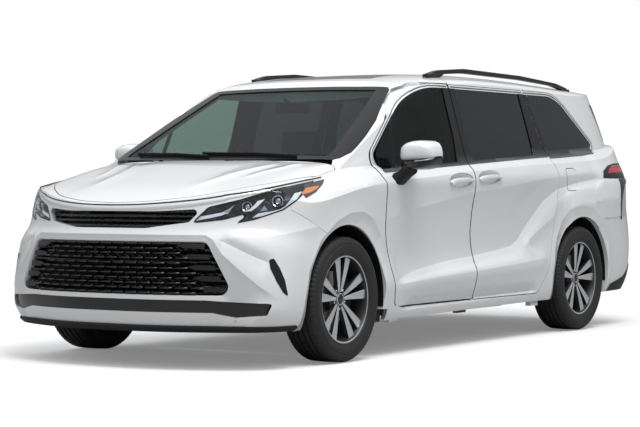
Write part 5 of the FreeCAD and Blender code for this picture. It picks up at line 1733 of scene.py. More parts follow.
@dataclass
class DoorMirror:
    """A door mirror: painted cap, dark lower shell and foot, silver strip and glass."""

    back: float = 0.872
    root: float = 0.972
    span: float = 0.218
    rows: tuple[tuple[float, float, float, float], ...] = (
        (0.972, 1.160, 1.205, 0.985), (0.978, 1.156, 1.236, 1.010), (0.992, 1.155, 1.258, 1.028),
        (1.016, 1.155, 1.272, 1.038), (1.052, 1.156, 1.280, 1.043), (1.095, 1.158, 1.282, 1.043),
        (1.140, 1.161, 1.276, 1.039), (1.168, 1.165, 1.262, 1.030), (1.183, 1.170, 1.238, 1.012),
        (1.190, 1.178, 1.206, 0.985))

    def ring(self, y: float, low: float, high: float, front: float, back: float,
             steps: int = 16) -> list[Vector]:
        """One section of the shell.

        Args:
            y: its place across.
            low: its lowest point.
            high: its highest point.
            front: its foremost point.
            back: its flat back.
            steps: points round the front.

        Returns:
            The section's points.
        """
        centre, half = (low + high) / 2, (high - low) / 2
        points = []
        for k in range(steps + 1):
            angle = -math.pi / 2 + math.pi * k / steps
            c, s = math.cos(angle), math.sin(angle)
            x = back + (front - back) * (max(c, 0.0) ** 0.50)
            z = centre + half * math.copysign(abs(s) ** 0.62, s)
            points.append(Vector((x, y, z)))
        return points

    def foot(self) -> bpy.types.Object:
        """The dark arm from the door to the lower shell."""
        rings = []
        for y, x, z, deep, tall in ((0.950, 1.008, 1.048, 0.062, 0.040),
                                    (0.975, 1.008, 1.054, 0.060, 0.041),
                                    (0.995, 1.004, 1.074, 0.058, 0.042),
                                    (1.015, 0.996, 1.096, 0.056, 0.042),
                                    (1.046, 0.985, 1.116, 0.054, 0.036)):
            ring = []
            for k in range(16):
                angle = 2 * math.pi * k / 16
                c, s = math.cos(angle), math.sin(angle)
                ring.append(Vector((x - 0.01 + deep * math.copysign(abs(c) ** 0.6, c), y,
                                    z + tall * math.copysign(abs(s) ** 0.6, s))))
            rings.append(ring)
        return loft("mirror_foot", rings, BLACK_PLASTIC, 50)

    def build(self) -> None:
        """Makes both mirrors."""
        cap = loft("mirror_cap", [self.ring(y, lo, hi, f, self.back) for y, lo, hi, f in self.rows],
                   PAINT, 50)
        under = []
        for y, lo, _, f in self.rows:
            t = (y - self.root) / self.span
            deep = 0.052 - 0.020 * max(0.0, t - 0.7) / 0.3
            under.append(self.ring(y, lo - deep, lo + 0.008, f - 0.010, self.back + 0.004))
        shell = loft("mirror_under", under, GLOSS_BLACK, 50)
        strip_rings = [self.ring(y, lo - 0.006, lo + 0.003, f - 0.001, f - 0.030) for y, lo, _,
                       f in self.rows[5:]]
        strip = loft("mirror_strip", strip_rings, SILVER_STRIP, 50)
        glass_rings = [[Vector((self.back + dx, p.y,
                                p.z)) for p in self.glass_outline()] for dx in (-0.0008, 0.004)]
        glass = loft("mirror_pane", glass_rings, MIRROR_GLASS, 30)
        for obj, finish in ((cap, PAINT), (shell, GLOSS_BLACK), (self.foot(), BLACK_PLASTIC),
                            (strip, SILVER_STRIP), (glass, MIRROR_GLASS)):
            twin = mirrored(obj, obj.name + "_right")
            attach(obj, "front_door_left")
            attach(twin, "front_door_right")
            if obj is cap:
                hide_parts("door_mirror_left")
                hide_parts("door_mirror_right")
        log.info("door mirrors")

    def glass_outline(self) -> list[Vector]:
        """The outline of the reflecting pane."""
        flat = rounded([(0.992, 1.122, 0.02), (1.176, 1.148, 0.03), (1.168, 1.246, 0.04),
                        (1.008, 1.250, 0.05)], 6)
        return [Vector((0, a, b)) for a, b in flat]


HEADLAMP = (
    (-0.330, 0.806, 0.012), (-0.236, 0.896, 0.060), (-0.060, 0.938, 0.0), (0.150, 1.002, 0.0),
    (0.352, 1.058, 0.030), (0.322, 1.000, 0.060), (0.250, 0.930, 0.060), (0.176, 0.878, 0.060),
    (0.020, 0.826, 0.020), (-0.082, 0.806, 0.004), (-0.008, 0.864, 0.010), (-0.150, 0.826, 0.060))


@dataclass
class Headlamp:
    """A headlamp: dark bowl, two lenses, light blades, amber marker, clear cover and dark rim."""

    depth: float = 0.050
    lenses: tuple[tuple[float, float, float], ...] = ((0.152, 0.934, 0.033), (-0.022, 0.903, 0.030))
    ball_depth: float = 0.026
    light: tuple[Point2, ...] = (
        (0.006, 0.838), (0.060, 0.847), (0.130, 0.860), (0.182, 0.878), (0.224, 0.906),
        (0.256, 0.948), (0.282, 0.986), (0.240, 0.977), (0.214, 0.930), (0.190, 0.902),
        (0.160, 0.884), (0.110, 0.873), (0.040, 0.862))
    blade: tuple[Point2, ...] = (
        (-0.046, 0.872), (-0.006, 0.887), (0.018, 0.910), (0.036, 0.932), (0.076, 0.943),
        (0.050, 0.915), (0.026, 0.893), (0.002, 0.876))
    inner_light: tuple[Point2, ...] = (
        (-0.312, 0.818), (-0.294, 0.843), (-0.240, 0.852), (-0.150, 0.869), (-0.134, 0.864),
        (-0.162, 0.851), (-0.230, 0.836), (-0.293, 0.824))
    spark: tuple[Point2, ...] = ((-0.158, 0.872), (-0.120, 0.890), (-0.088, 0.914), (-0.110, 0.888),
                                 (-0.130, 0.856))
    wedge: tuple[Point2, ...] = ((0.052, 0.876), (0.072, 0.906), (0.094, 0.880))
    tip: tuple[Point2, ...] = (
        (0.290, 1.020), (0.355, 1.038), (0.402, 1.048), (0.394, 1.022), (0.355, 0.976),
        (0.300, 0.942), (0.285, 0.960))
    marker: tuple[Point2, ...] = (
        (0.279, 0.976), (0.299, 0.999), (0.372, 1.012), (0.364, 0.996), (0.322, 0.973),
        (0.277, 0.962))
    marker_foot: tuple[Point2, ...] = ((0.250, 0.914), (0.276, 0.953), (0.284, 0.950),
                                       (0.258, 0.914))

    def bowl(self) -> bpy.types.Object:
        """The dark bowl behind the cover, with shallow steps."""
        outline = rounded(HEADLAMP, 5)

        def shape(a: float, b: float) -> float:
            """The bowl's depth at a flat point, as a lift below the body."""
            edge = min(math.dist((a, b), p) for p in outline)
            step = 0.007 * math.sin(a * 60.0 + b * 70.0)
            return -min(self.depth, edge * 1.5) + (step if edge > 0.02 else 0.0)

        return drape("lamp_bowl", outline, Look.CORNER, LAMP_DARK, -0.004, 0.003, 0.012, shape)

    def lens(self, across: float, level: float,
             radius: float) -> list[tuple[bpy.types.Object, AnyFinish]]:
        """One projector: bright ring, dark barrel and glass ball.

        Args:
            across: place in the lamp's plane.
            level: height.
            radius: radius of the ring.

        Returns:
            The objects with their finishes.
        """
        place, normal = land(Look.CORNER, across, level)
        forward = Vector((1.0, 0.25, 0.05)).normalized()
        turn = forward.to_track_quat("Y", "Z").to_matrix().to_4x4()
        turn.translation = place - normal * self.ball_depth
        ring = lathe("lamp_ring", [(-0.030, radius), (0.004, radius), (0.007, radius - 0.002),
                                   (0.003, radius - 0.006), (-0.030, radius - 0.008)], LAMP_CHROME,
                                   40)
        cone = lathe("lamp_barrel", [(-0.030, 0.001), (-0.030, radius - 0.006),
                                     (-0.002, radius - 0.006), (-0.016, radius - 0.012),
                                     (-0.020, 0.001)], LAMP_DARK, 40)
        curve = [(-0.022, 0.0008), (-0.022, radius - 0.012)]
        for k in range(7):
            angle = math.pi / 2 * k / 6
            curve.append((-0.014 + 0.016 * math.sin(angle),
                          max(0.0008, (radius - 0.012) * math.cos(angle))))
        ball = lathe("lamp_ball", curve, LAMP_CHROME, 40)
        for obj in (ring, cone, ball):
            obj.data.transform(turn)
        return [(ring, LAMP_CHROME), (cone, LAMP_DARK), (ball, LAMP_CHROME)]

    def build(self) -> None:
        """Makes both headlamps."""
        pieces: list[tuple[bpy.types.Object, AnyFinish]] = [(self.bowl(), LAMP_DARK)]
        for across, level, radius in self.lenses:
            pieces += self.lens(across, level, radius)
        for name, outline, finish, lift in (
                ("lamp_light", self.light, LAMP_WHITE, -0.008),
                ("lamp_blade", self.blade, LAMP_WHITE, -0.010),
                ("lamp_inner_light", self.inner_light, LAMP_WHITE, -0.006),
                ("lamp_spark", self.spark, LAMP_CHROME, -0.012),
                ("lamp_wedge", self.wedge, LAMP_CHROME, -0.010),
                ("lamp_tip", self.tip, LAMP_DARK, 0.0014),
                ("lamp_marker", self.marker, AMBER, 0.0030),
                ("lamp_marker_foot", self.marker_foot, AMBER, -0.006)):
            pieces.append((drape(name, outline, Look.CORNER, finish, lift, 0.003, 0.012), finish))
        outline = rounded(HEADLAMP, 5)
        rim = strip_on_body("lamp_rim",
                            spaced(spread(outline, -0.003) + [spread(outline, -0.003)[0]],
                                   0.009)[:-1],
                            Look.CORNER, 0.0042, 0.0016, GLOSS_BLACK, 0.0, None, True, False)
        pieces.append((rim, GLOSS_BLACK))
        pieces.append((drape("lamp_glass", outline, Look.CORNER, LAMP_COVER, -0.0004, 0.002, 0.03),
                       LAMP_COVER))
        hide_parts("headlamps")
        for obj, finish in pieces:
            both_sides(obj, "body")
        log.info("headlamps")


@dataclass
class TailLamp:
    """The lenses on the tail lamps and the dark sliver below them."""

    cover: tuple[Point2, ...] = (
        (-1.790, 1.060), (-1.815, 1.108), (-1.937, 1.150), (-2.066, 1.164), (-2.234, 1.170),
        (-2.330, 1.168), (-2.330, 1.054), (-2.155, 1.056), (-1.905, 1.056))
    red: tuple[Point2, ...] = (
        (-1.885, 1.094), (-1.950, 1.132), (-2.120, 1.138), (-2.330, 1.142), (-2.330, 1.106),
        (-2.080, 1.100))
    orange: tuple[Point2, ...] = ((-1.985, 1.138), (-2.120, 1.144), (-2.300, 1.148),
                                  (-2.300, 1.156), (-2.000, 1.146))
    sliver: tuple[Point2, ...] = (
        (-2.060, 1.052), (-2.300, 1.052), (-2.300, 1.030), (-2.200, 1.010), (-2.160, 0.960),
        (-2.130, 0.880), (-2.112, 0.760), (-2.100, 0.760), (-2.104, 0.880), (-2.100, 0.970),
        (-2.086, 1.020))

    def build(self) -> None:
        """Makes the lenses on both sides."""
        for outline, finish, lift in ((self.cover, COVER_BLACK, 0.0012),
                                      (self.red, RED_LENS, 0.0026), (self.orange, AMBER, 0.0026),
                                      (self.sliver, GLOSS_BLACK, 0.0060)):
            both_sides(drape("tail_lens", outline, Look.SIDE, finish, lift, 0.004, 0.03), "body")
        log.info("tail lamps")


LOWER_GRILLE = ((0.764, 0.412, 0.050), (0.606, 0.712, 0.046), (-0.606, 0.712, 0.046),
                (-0.764, 0.412, 0.050))


@dataclass
class NoseTrim:
    """The bright bar below the hood, the frame of the lower grille, the vents and the dark lip."""

    bar: tuple[tuple[float, float, float], ...] = (
        (0.0, 0.888, 1.0), (0.10, 0.889, 1.0), (0.20, 0.892, 1.0), (0.30, 0.898, 1.0),
        (0.40, 0.906, 1.0), (0.50, 0.917, 0.98), (0.58, 0.930, 0.92), (0.65, 0.945, 0.82))
    bar_corner: tuple[tuple[float, float, float], ...] = (
        (-0.150, 0.946, 0.80), (-0.060, 0.960, 0.66), (0.020, 0.975, 0.55), (0.102, 0.992, 0.48),
        (0.200, 1.014, 0.42), (0.300, 1.036, 0.36), (0.384, 1.054, 0.30))
    vent: tuple[Point2, ...] = (
        (0.100, 0.610), (0.126, 0.616), (0.158, 0.563), (0.186, 0.496), (0.204, 0.404),
        (0.175, 0.431), (0.137, 0.498), (0.106, 0.564))
    lip_level: float = 0.226
    valance: tuple[Point2, ...] = (
        (-1.930, 0.250), (-1.960, 0.300), (-2.200, 0.345), (-2.330, 0.410), (-2.400, 0.440),
        (-2.400, 0.250))

    def bar_line(self) -> None:
        """The bar in one sweep from lamp to lamp."""
        half: list[tuple[Vector, Vector, float]] = []
        for y, z, grow in self.bar:
            place, normal = land(Look.FRONT, y, z)
            half.append((place, normal, grow))
        for a, b, grow in self.bar_corner:
            place, normal = land(Look.CORNER, a, b)
            half.append((place, normal, grow))
        fine: list[tuple[Vector, Vector, float]] = []
        for (p, n, g), (q, m, h) in zip(half, half[1:]):
            for k in range(4):
                t = k / 4
                fine.append((p.lerp(q, t), n.lerp(m, t).normalized(), g + (h - g) * t))
        fine.append(half[-1])
        whole = [(Vector((p.x, -p.y, p.z)), Vector((n.x, -n.y, n.z)), g) for p, n,
                 g in fine[:0:-1]] + fine
        width = 0.0165
        section = [(-width, -0.006), (width, -0.006), (width, 0.004), (width * 0.6, 0.008),
                   (-width * 0.2, 0.009), (-width * 0.9, 0.005)]
        obj = sweep("nose_bar", [w[0] for w in whole], [w[1] for w in whole], section, BRIGHT_TRIM,
                    False,
                    [w[2] for w in whole])
        attach(obj, "body")
        line = [(-0.0022, -0.004), (0.0022, -0.004), (0.0022, 0.0035), (-0.0022, 0.0035)]
        for name, side in (("nose_line_upper", 1.0), ("nose_line_lower", -1.0)):
            raised = [w[0] + Vector((0, 0, side * (width * w[2] + 0.002))) for w in whole]
            attach(sweep(name, raised, [w[1] for w in whole], line, GLOSS_BLACK), "body")

    def frame_ring(self) -> None:
        """The raised painted frame round the lower grille."""
        ring = spread(rounded(LOWER_GRILLE, 6), 0.007)
        line = spaced(ring + [ring[0]], 0.03)[:-1]
        landed = [land(Look.FRONT, a, b) for a, b in line]
        section = [(-0.009, -0.040), (0.009, -0.040), (0.009, -0.012), (0.004, -0.008),
                   (-0.004, -0.008), (-0.009, -0.012)]
        obj = sweep("grille_frame", [p for p, _ in landed], [n for _, n in landed], section, PAINT,
                    True)
        attach(obj, "body")

    def lip(self) -> None:
        """The dark lip along the lower edge of the front bumper."""
        half = [land(Look.FRONT, y, self.lip_level) for y in np.linspace(0.0, 0.56, 20)]
        half += [land(Look.CORNER, a, self.lip_level) for a in np.linspace(-0.215, 0.238, 26)]
        landed = [(Vector((p.x, -p.y, p.z)), Vector((n.x, -n.y, n.z))) for p,
                  n in half[:0:-1]] + half
        section = [(-0.020, -0.010), (0.018, -0.010), (0.016, 0.006), (-0.012, 0.014),
                   (-0.020, 0.008)]
        obj = sweep("nose_lip", [p for p, _ in landed], [n for _, n in landed], section,
                    BLACK_PLASTIC)
        attach(obj, "body")

    def build(self) -> None:
        """Makes all trim of the nose."""
        self.bar_line()
        self.frame_ring()
        self.lip()
        both_sides(drape("bumper_vent", rounded([(a, b, 0.01) for a, b in self.vent], 3),
                         Look.CORNER, BLACK_PLASTIC,
                         0.0015, 0.004, 0.02), "body")
        both_sides(drape("rear_valance_side", self.valance, Look.SIDE, BLACK_PLASTIC, 0.0050, 0.008,
                         0.03), "body")
        log.info("nose trim")


@dataclass
class SillEnds:
    """The painted covers on the front ends of the sills."""

    outline: tuple[Point2, ...] = ((1.128, 0.312), (0.940, 0.283), (0.930, 0.222), (1.060, 0.212),
                                   (1.120, 0.212))

    def build(self) -> None:
        """Makes both covers."""
        both_sides(drape("sill_end", self.outline, Look.SIDE, PAINT, 0.0016, 0.004, 0.03), "body")
        log.info("sill ends")


@dataclass
class GrilleBricks:
    """The stepped rows of small bars in the lower grille."""

    rows: int = 11
    pitch: float = 0.088
    bar: tuple[float, float, float] = (0.022, 0.076, 0.010)
    blades: int = 5
    depth: float = 0.016

    def edge(self, z: float) -> float:
        """The half width of the opening at a height."""
        (foot, low, _), (head, high, _) = LOWER_GRILLE[:2]
        return foot - (z - low) / (high - low) * (foot - head)

    def build(self) -> None:
        """Makes the bars in one object and the blades at both ends."""
        pieces = []
        low, high = LOWER_GRILLE[0][1], LOWER_GRILLE[1][1]
        step = (high - low) / self.rows
        for row in range(self.rows):
            z = low + step * (row + 0.5)
            reach = self.edge(z) - 0.150
            shift = self.pitch / 2 if row % 2 else 0.0
            count = int(reach / self.pitch) + 1
            for k in range(-count, count + 1):
                y = k * self.pitch + shift
                if abs(y) > reach:
                    continue
                place, normal = land(Look.FRONT, y, z)
                turn = normal.to_track_quat("X", "Z").to_matrix().to_4x4()
                turn.translation = place - normal * self.depth
                pieces.append(block("grille_brick", self.bar, GLOSS_BLACK, 0.003, turn, 1))
        attach(join("grille_bricks", pieces), "body")
        for row in range(self.blades):
            z = low + 0.036 + row * (high - low - 0.062) / (self.blades - 1)
            end = self.edge(z) - 0.020
            outline = [(end, z - 0.016), (end - 0.004, z + 0.012), (end - 0.105, z + 0.014),
                       (end - 0.150, z + 0.003), (end - 0.105, z - 0.014)]
            both_sides(drape("grille_blade", outline, Look.FRONT, RAIL_BLACK, -0.010, 0.012, 0.03),
                       "body")
        log.info("grille bars")


@dataclass
class Wheel:
    """A wheel: tyre with grooves, barrel, paired spokes, nuts and cap."""

    radius: float = HUB
    seat: float = 0.252
    face: float = 0.082
    pairs: int = 5
    turns: int = 240
    root: float = 0.042
    front_turn: float = 36.0
    rear_turn: float = 31.0

    def tyre_mesh(self, name: str) -> bpy.types.Object:
        """The tyre about the Y axis."""
        r = self.radius
        side = [(0.098, 0.251), (0.1045, 0.2545), (0.1075, 0.2600), (0.1060, 0.2635),
                (0.1130, 0.276), (0.1165, 0.290), (0.1172, 0.302), (0.1172, 0.311),
                (0.1148, 0.3135), (0.1140, 0.3195), (0.1158, 0.3225), (0.1120, 0.3365),
                (0.1040, 0.3490), (0.0960, 0.3560), (0.0880, 0.3595)]
        tread: list[Point2] = []
        for groove in (0.056, 0.019, -0.019, -0.056):
            crown = 0.0020 * (groove / 0.08) ** 2
            tread += [(groove + 0.0050, r - 0.0005 - crown), (groove + 0.0042, r - 0.0080),
                      (groove - 0.0042, r - 0.0080), (groove - 0.0050, r - 0.0005 - crown)]
        profile = side + tread + [(-y, q) for y, q in side[::-1]]
        wide = len(profile)
        verts, faces = [], []
        for k in range(self.turns):
            angle = 2 * math.pi * k / self.turns
            notch = k % 3 == 0
            c, s = math.cos(angle), math.sin(angle)
            for j, (y, q) in enumerate(profile):
                cut = 0.0045 if notch and 0.340 < q < 0.3598 else 0.0
                verts.append(((q - cut) * c, y, (q - cut) * s))
        for k in range(self.turns):
            a, b = k * wide, ((k + 1) % self.turns) * wide
            for j in range(wide - 1):
                faces.append([a + j, b + j, b + j + 1, a + j + 1])
            faces.append([a + wide - 1, b + wide - 1, b, a])
        return make_object(name, verts, faces, TYRE_RUBBER, True, 28.0)

    def spoke_face(self, angle: float, lean: float) -> list[bpy.types.Object]:
        """One machined spoke with dark flanks.

        Args:
            angle: its direction in degrees.
            lean: which way it leans, -1 or 1.

        Returns:
            The bright face and the dark body.
        """
        rings_dark, rings_face = [], []
        for t in np.linspace(0.0, 1.0, 9):
            q = self.root + (self.seat - 0.008 - self.root) * t
            centre = lean * (0.0115 + 0.0455 * t ** 1.10)
            wide = 0.0075 + 0.0215 * t ** 0.9
            level = self.face - 0.016 * (1 - t) ** 1.5 + 0.004 * t
            thick = 0.034 - 0.008 * t
            inner_edge, outer_edge = centre - lean * wide, centre + lean * wide
            ridge = inner_edge + lean * (0.0045 + 0.003 * t)
            lower = level - 0.0015 - 0.0025 * t
            rings_dark.append([(q, inner_edge + lean * 0.001, level - 0.003),
                               (q, ridge, level - 0.001),
                               (q, outer_edge - lean * 0.001, lower - 0.001),
                               (q, outer_edge - lean * 0.005, lower - thick),
                               (q, inner_edge + lean * 0.005, level - thick)])
            rings_face.append([(q, inner_edge, level - 0.0025), (q, ridge, level),
                               (q, outer_edge, lower), (q, outer_edge, lower - 0.002),
                               (q, inner_edge, level - 0.005)])
        turn = Matrix.Rotation(math.radians(angle), 3, "Y")
        result = []
        for rings, finish, name in ((rings_dark, ALLOY_DARK, "spoke_flank"),
                                    (rings_face, ALLOY_FACE, "spoke_face")):
            placed = [[turn @ Vector((a, h, b)) for a, b, h in ring] for ring in rings]
            result.append(loft(name, placed, finish, 30))
        return result

    def rim_pieces(self, name: str) -> list[tuple[bpy.types.Object, AnyFinish]]:
        """The barrel, spokes, hub, nuts, cap and disc about the Y axis."""
        barrel = lathe(name + "_barrel", [(-0.098, 0.251), (-0.098, 0.240), (-0.070, 0.232),
                                          (0.030, 0.228), (0.070, 0.236), (0.090, 0.240),
                                          (0.096, 0.2435), (0.096, 0.250), (0.098, 0.251)],
                                          BARREL_DARK, 96)
        lip = lathe(name + "_lip", [(0.0955, 0.2515), (0.0955, 0.2440), (0.0985, 0.2432),
                                    (0.1000, 0.2460), (0.0995, 0.2515)], ALLOY_FACE, 96)
        hub = lathe(name + "_hub", [(0.020, 0.001), (0.020, 0.076), (0.040, 0.074), (0.046, 0.060),
                                    (0.052, 0.036), (0.052, 0.001)], ALLOY_DARK, 60)
        cap = lathe(name + "_cap", [(0.050, 0.001), (0.050, 0.029), (0.066, 0.029), (0.070, 0.026),
                                    (0.0715, 0.013), (0.072, 0.001)], GLOSS_BLACK, 48)
        ring = lathe(name + "_cap_ring", [(0.052, 0.0290), (0.067, 0.0290), (0.069, 0.0310),
                                          (0.068, 0.0350), (0.052, 0.0380)], ALLOY_FACE, 48)
        disc = lathe(name + "_disc", [(-0.024, 0.060), (-0.024, 0.160), (0.002, 0.160),
                                      (0.002, 0.060)], DISC_STEEL, 72)
        hat = lathe(name + "_hat", [(0.002, 0.056), (0.002, 0.072), (0.020, 0.072), (0.020, 0.056)],
                    CAST_DARK, 48)
        flanks, faces = [], []
        for pair in range(self.pairs):
            for lean in (-1.0, 1.0):
                flank, front = self.spoke_face(360.0 / self.pairs * pair + 90.0, lean)
                flanks.append(flank)
                faces.append(front)
        nuts = []
        for k in range(self.pairs):
            angle = 2 * math.pi * (k + 0.5) / self.pairs + math.pi / 2
            nut = lathe("nut", [(0.040, 0.001), (0.040, 0.0095), (0.060, 0.0090), (0.064, 0.006),
                                (0.064, 0.001)],
                        DISC_STEEL, 6, Vector((0.057 * math.cos(angle), 0,
                                               -0.057 * math.sin(angle))))
            nuts.append(nut)
        return [(barrel, BARREL_DARK), (lip, ALLOY_FACE), (hub, ALLOY_DARK), (cap, GLOSS_BLACK),
                (ring, ALLOY_FACE),
                (disc, DISC_STEEL), (hat, CAST_DARK), (join(name + "_flanks", flanks), ALLOY_DARK),
                (join(name + "_spokes", faces), ALLOY_FACE),
                (join(name + "_nuts", nuts), DISC_STEEL)]

    def build(self) -> None:
        """Makes the four wheels."""
        places = {"front_left": (FRONT_AXLE, FRONT_Y, self.front_turn),
                  "front_right": (FRONT_AXLE, -FRONT_Y, self.front_turn),
                  "rear_left": (REAR_AXLE, REAR_Y, self.rear_turn),
                  "rear_right": (REAR_AXLE, -REAR_Y, self.rear_turn)}
        tyre = self.tyre_mesh("tyre_form")
        parts = self.rim_pieces("wheel_form")
        for corner, (x, y, turn) in places.items():
            spin = Matrix.Rotation(math.radians(turn), 4, "Y")
            for source, finish in [(tyre, TYRE_RUBBER)] + parts:
                if y < 0:
                    copy = mirrored(source, source.name.replace("form", corner))
                else:
                    copy = linked(source.name.replace("form", corner), source.data.copy())
                copy.data.transform(Matrix.Translation((x, y, HUB)) @ spin)
                if source is tyre:
                    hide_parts("tyre_" + corner)
                elif source is parts[0][0]:
                    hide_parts("rim_" + corner)
                attach(copy, "wheel_" + corner)
            log.info("wheel %s", corner)
        for source in [tyre] + [part for part, _ in parts]:
            bpy.data.objects.remove(source)


@dataclass
class Wipers:
    """Two wiper arms parked at the foot of the windscreen."""

    arms: tuple[tuple[float, float], ...] = ((0.560, -0.110), (-0.060, -0.640))

    def build(self) -> None:
        """Makes the arms and blades on the glass."""
        for start, end in self.arms:
            arm_line = [(start, 1.176), (start * 0.55 + end * 0.45, 1.190), (end, 1.193)]
            arm = strip_on_body("wiper_arm", spaced(arm_line, 0.03), Look.FRONT, 0.006, 0.016,
                                BLACK_PLASTIC, 0.006)
            attach(arm, "body")
            blade_line = [(start - 0.02, 1.186), (end - 0.03, 1.203)]
            blade = strip_on_body("wiper_blade", spaced(blade_line, 0.03), Look.FRONT, 0.005, 0.012,
                                  BLACK_PLASTIC, 0.002)
            attach(blade, "body")
        log.info("wipers")


@dataclass
class Cabin:
    """The rear-view mirror and its stem, which show through the windscreen."""

    def build(self) -> None:
        """Makes the rear-view mirror on the windscreen."""
        turn = Matrix.Translation((0.700, 0.0, 1.500)) @ Matrix.Rotation(math.radians(-12), 4, "Y")
        mirror = block("inner_mirror", (0.022, 0.250, 0.066), BLACK_PLASTIC, 0.010, turn)
        attach(mirror, "body")
        stem = block("inner_mirror_stem", (0.10, 0.018, 0.018), BLACK_PLASTIC, 0.004,
                     Matrix.Translation((0.740, 0.0, 1.528)) @ Matrix.Rotation(math.radians(-24), 4,
                                                                               "Y"))
        attach(stem, "body")
        log.info("cabin pieces")


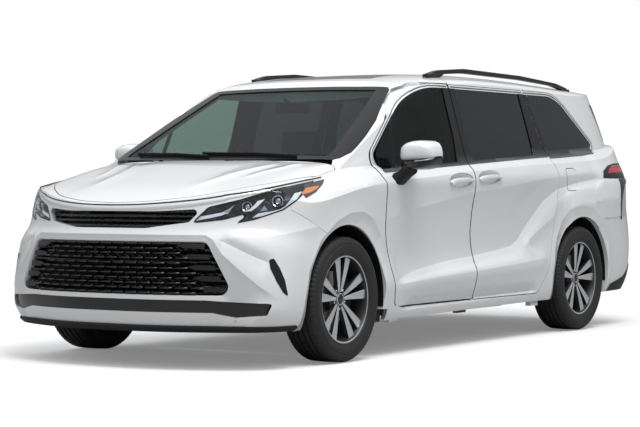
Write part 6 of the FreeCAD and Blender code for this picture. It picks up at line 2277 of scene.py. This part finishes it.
@dataclass
class Studio:
    """The pale floor and backdrop, the soft lamp and the camera."""

    floor_size: float = 60.0
    place: tuple[float, float, float] = (11.4403, 7.1774, 1.0429)
    yaw: float = 3.71720
    pitch: float = -0.0163
    focal: float = 114.63
    horizon: float = 0.24
    zenith: float = 1.12
    floor_level: float = -0.0005
    shadow_reach: float = 3.2
    white_from: float = 6.0

    def pale(self, name: str, shade: float, seen_shade: float, lift: float) -> bpy.types.Material:
        """The floor's material: white to the camera away from the van, with the van's shadow kept.

        Args:
            name: the material's name.
            shade: the grey that lights the van from below.
            seen_shade: the grey that the camera sees.
            lift: the light that the camera sees of it besides.

        Returns:
            The material.
        """
        material = bpy.data.materials.new(name)
        material.use_nodes = True
        nodes, links = material.node_tree.nodes, material.node_tree.links
        out = nodes["Material Output"]
        nodes.remove(nodes["Principled BSDF"])
        matt = nodes.new("ShaderNodeBsdfDiffuse")
        noise = nodes.new("ShaderNodeTexNoise")
        noise.inputs["Scale"].default_value = 3.0
        tone = nodes.new("ShaderNodeMix")
        tone.data_type = "RGBA"
        tone.inputs["A"].default_value = (*[seen_shade * 0.99] * 3, 1)
        tone.inputs["B"].default_value = (*[seen_shade] * 3, 1)
        links.new(noise.outputs["Fac"], tone.inputs["Factor"])
        links.new(tone.outputs["Result"], matt.inputs["Color"])
        dim = nodes.new("ShaderNodeBsdfDiffuse")
        dim.inputs["Color"].default_value = (shade, shade, shade, 1)
        glow = nodes.new("ShaderNodeEmission")
        glow.inputs["Strength"].default_value = lift
        both = nodes.new("ShaderNodeAddShader")
        links.new(matt.outputs[0], both.inputs[0])
        links.new(glow.outputs[0], both.inputs[1])
        white = nodes.new("ShaderNodeEmission")
        geometry = nodes.new("ShaderNodeNewGeometry")
        away = nodes.new("ShaderNodeVectorMath")
        away.operation = "LENGTH"
        links.new(geometry.outputs["Position"], away.inputs[0])
        far = nodes.new("ShaderNodeMapRange")
        far.interpolation_type = "SMOOTHSTEP"
        far.inputs["From Min"].default_value = self.shadow_reach
        far.inputs["From Max"].default_value = self.white_from
        links.new(away.outputs["Value"], far.inputs["Value"])
        spread_mix = nodes.new("ShaderNodeMixShader")
        links.new(far.outputs["Result"], spread_mix.inputs[0])
        links.new(both.outputs[0], spread_mix.inputs[1])
        links.new(white.outputs[0], spread_mix.inputs[2])
        path = nodes.new("ShaderNodeLightPath")
        seen = nodes.new("ShaderNodeMixShader")
        links.new(path.outputs["Is Camera Ray"], seen.inputs[0])
        links.new(dim.outputs[0], seen.inputs[1])
        links.new(spread_mix.outputs[0], seen.inputs[2])
        links.new(seen.outputs[0], out.inputs["Surface"])
        return material

    def build(self) -> None:
        """Makes the floor, world, lamp and camera."""
        size, level = self.floor_size, self.floor_level
        corners = [(-size, -size, level), (size, -size, level), (size, size, level),
                   (-size, size, level)]
        floor = make_object("studio_floor", corners, [(0, 1, 2, 3)], BLACK_PLASTIC, False)
        floor.data.materials.clear()
        floor.data.materials.append(self.pale("studio_floor_white", 0.40, 0.80, 0.21))
        world = bpy.data.worlds.new("studio_world")
        bpy.context.scene.world = world
        world.use_nodes = True
        nodes, links = world.node_tree.nodes, world.node_tree.links
        nodes.clear()
        out = nodes.new("ShaderNodeOutputWorld")
        soft = nodes.new("ShaderNodeBackground")
        soft.inputs["Color"].default_value = (0.97, 0.98, 1.0, 1)
        place = nodes.new("ShaderNodeTexCoord")
        split = nodes.new("ShaderNodeSeparateXYZ")
        links.new(place.outputs["Generated"], split.inputs[0])
        rise = nodes.new("ShaderNodeMapRange")
        rise.inputs["From Min"].default_value = 0.0
        rise.inputs["From Max"].default_value = 1.0
        rise.inputs["To Min"].default_value = self.horizon
        rise.inputs["To Max"].default_value = self.zenith
        links.new(split.outputs["Z"], rise.inputs["Value"])
        links.new(rise.outputs["Result"], soft.inputs["Strength"])
        white = nodes.new("ShaderNodeBackground")
        white.inputs["Color"].default_value = (1, 1, 1, 1)
        white.inputs["Strength"].default_value = 1.0
        path = nodes.new("ShaderNodeLightPath")
        glossy = nodes.new("ShaderNodeMath")
        glossy.operation = "MAXIMUM"
        links.new(path.outputs["Is Camera Ray"], glossy.inputs[0])
        links.new(path.outputs["Is Transmission Ray"], glossy.inputs[1])
        mix = nodes.new("ShaderNodeMixShader")
        links.new(glossy.outputs[0], mix.inputs[0])
        links.new(soft.outputs[0], mix.inputs[1])
        links.new(white.outputs[0], mix.inputs[2])
        links.new(mix.outputs[0], out.inputs["Surface"])
        self.lamp("key_soft", (3.1, 3.7, 9.7), (0.2, 0.2, 0.7), 5.0, 640.0)
        self.camera()
        bpy.context.scene.view_settings.view_transform = "Standard"
        log.info("studio")

    def lamp(self, name: str, place: Sequence[float], target: Sequence[float], size: float,
             power: float) -> None:
        """One soft area lamp.

        Args:
            name: its name.
            place: where it hangs.
            target: where it points.
            size: its edge length.
            power: its power in watts.
        """
        data = bpy.data.lights.new(name, "AREA")
        data.energy = power
        data.size = size
        obj = linked(name, data)
        obj.location = place
        obj.rotation_euler = (Vector(target) - Vector(place)).to_track_quat("-Z", "Y").to_euler()

    def camera(self) -> None:
        """The camera at the photograph's angle."""
        data = bpy.data.cameras.new("studio_camera")
        data.lens = self.focal
        data.sensor_width = 36.0
        data.clip_end = 200.0
        obj = linked("studio_camera", data)
        obj.location = self.place
        look = Vector((math.cos(self.pitch) * math.cos(self.yaw),
                       math.cos(self.pitch) * math.sin(self.yaw),
                       math.sin(self.pitch)))
        obj.rotation_euler = look.to_track_quat("-Z", "Y").to_euler()
        bpy.context.scene.camera = obj


def main() -> None:
    """Builds and dresses the van, then the studio."""
    for piece in (PanelSkins(), PlainParts(), WindowTrim(), PillarCovers(), DoorGrips(),
                  DoorMirror(), Headlamp(),
                  TailLamp(), NoseTrim(), SillEnds(), GrilleBricks(), Wheel(), Wipers(), Cabin(),
                  Studio()):
        piece.build()


if __name__ == "__main__":
    main()
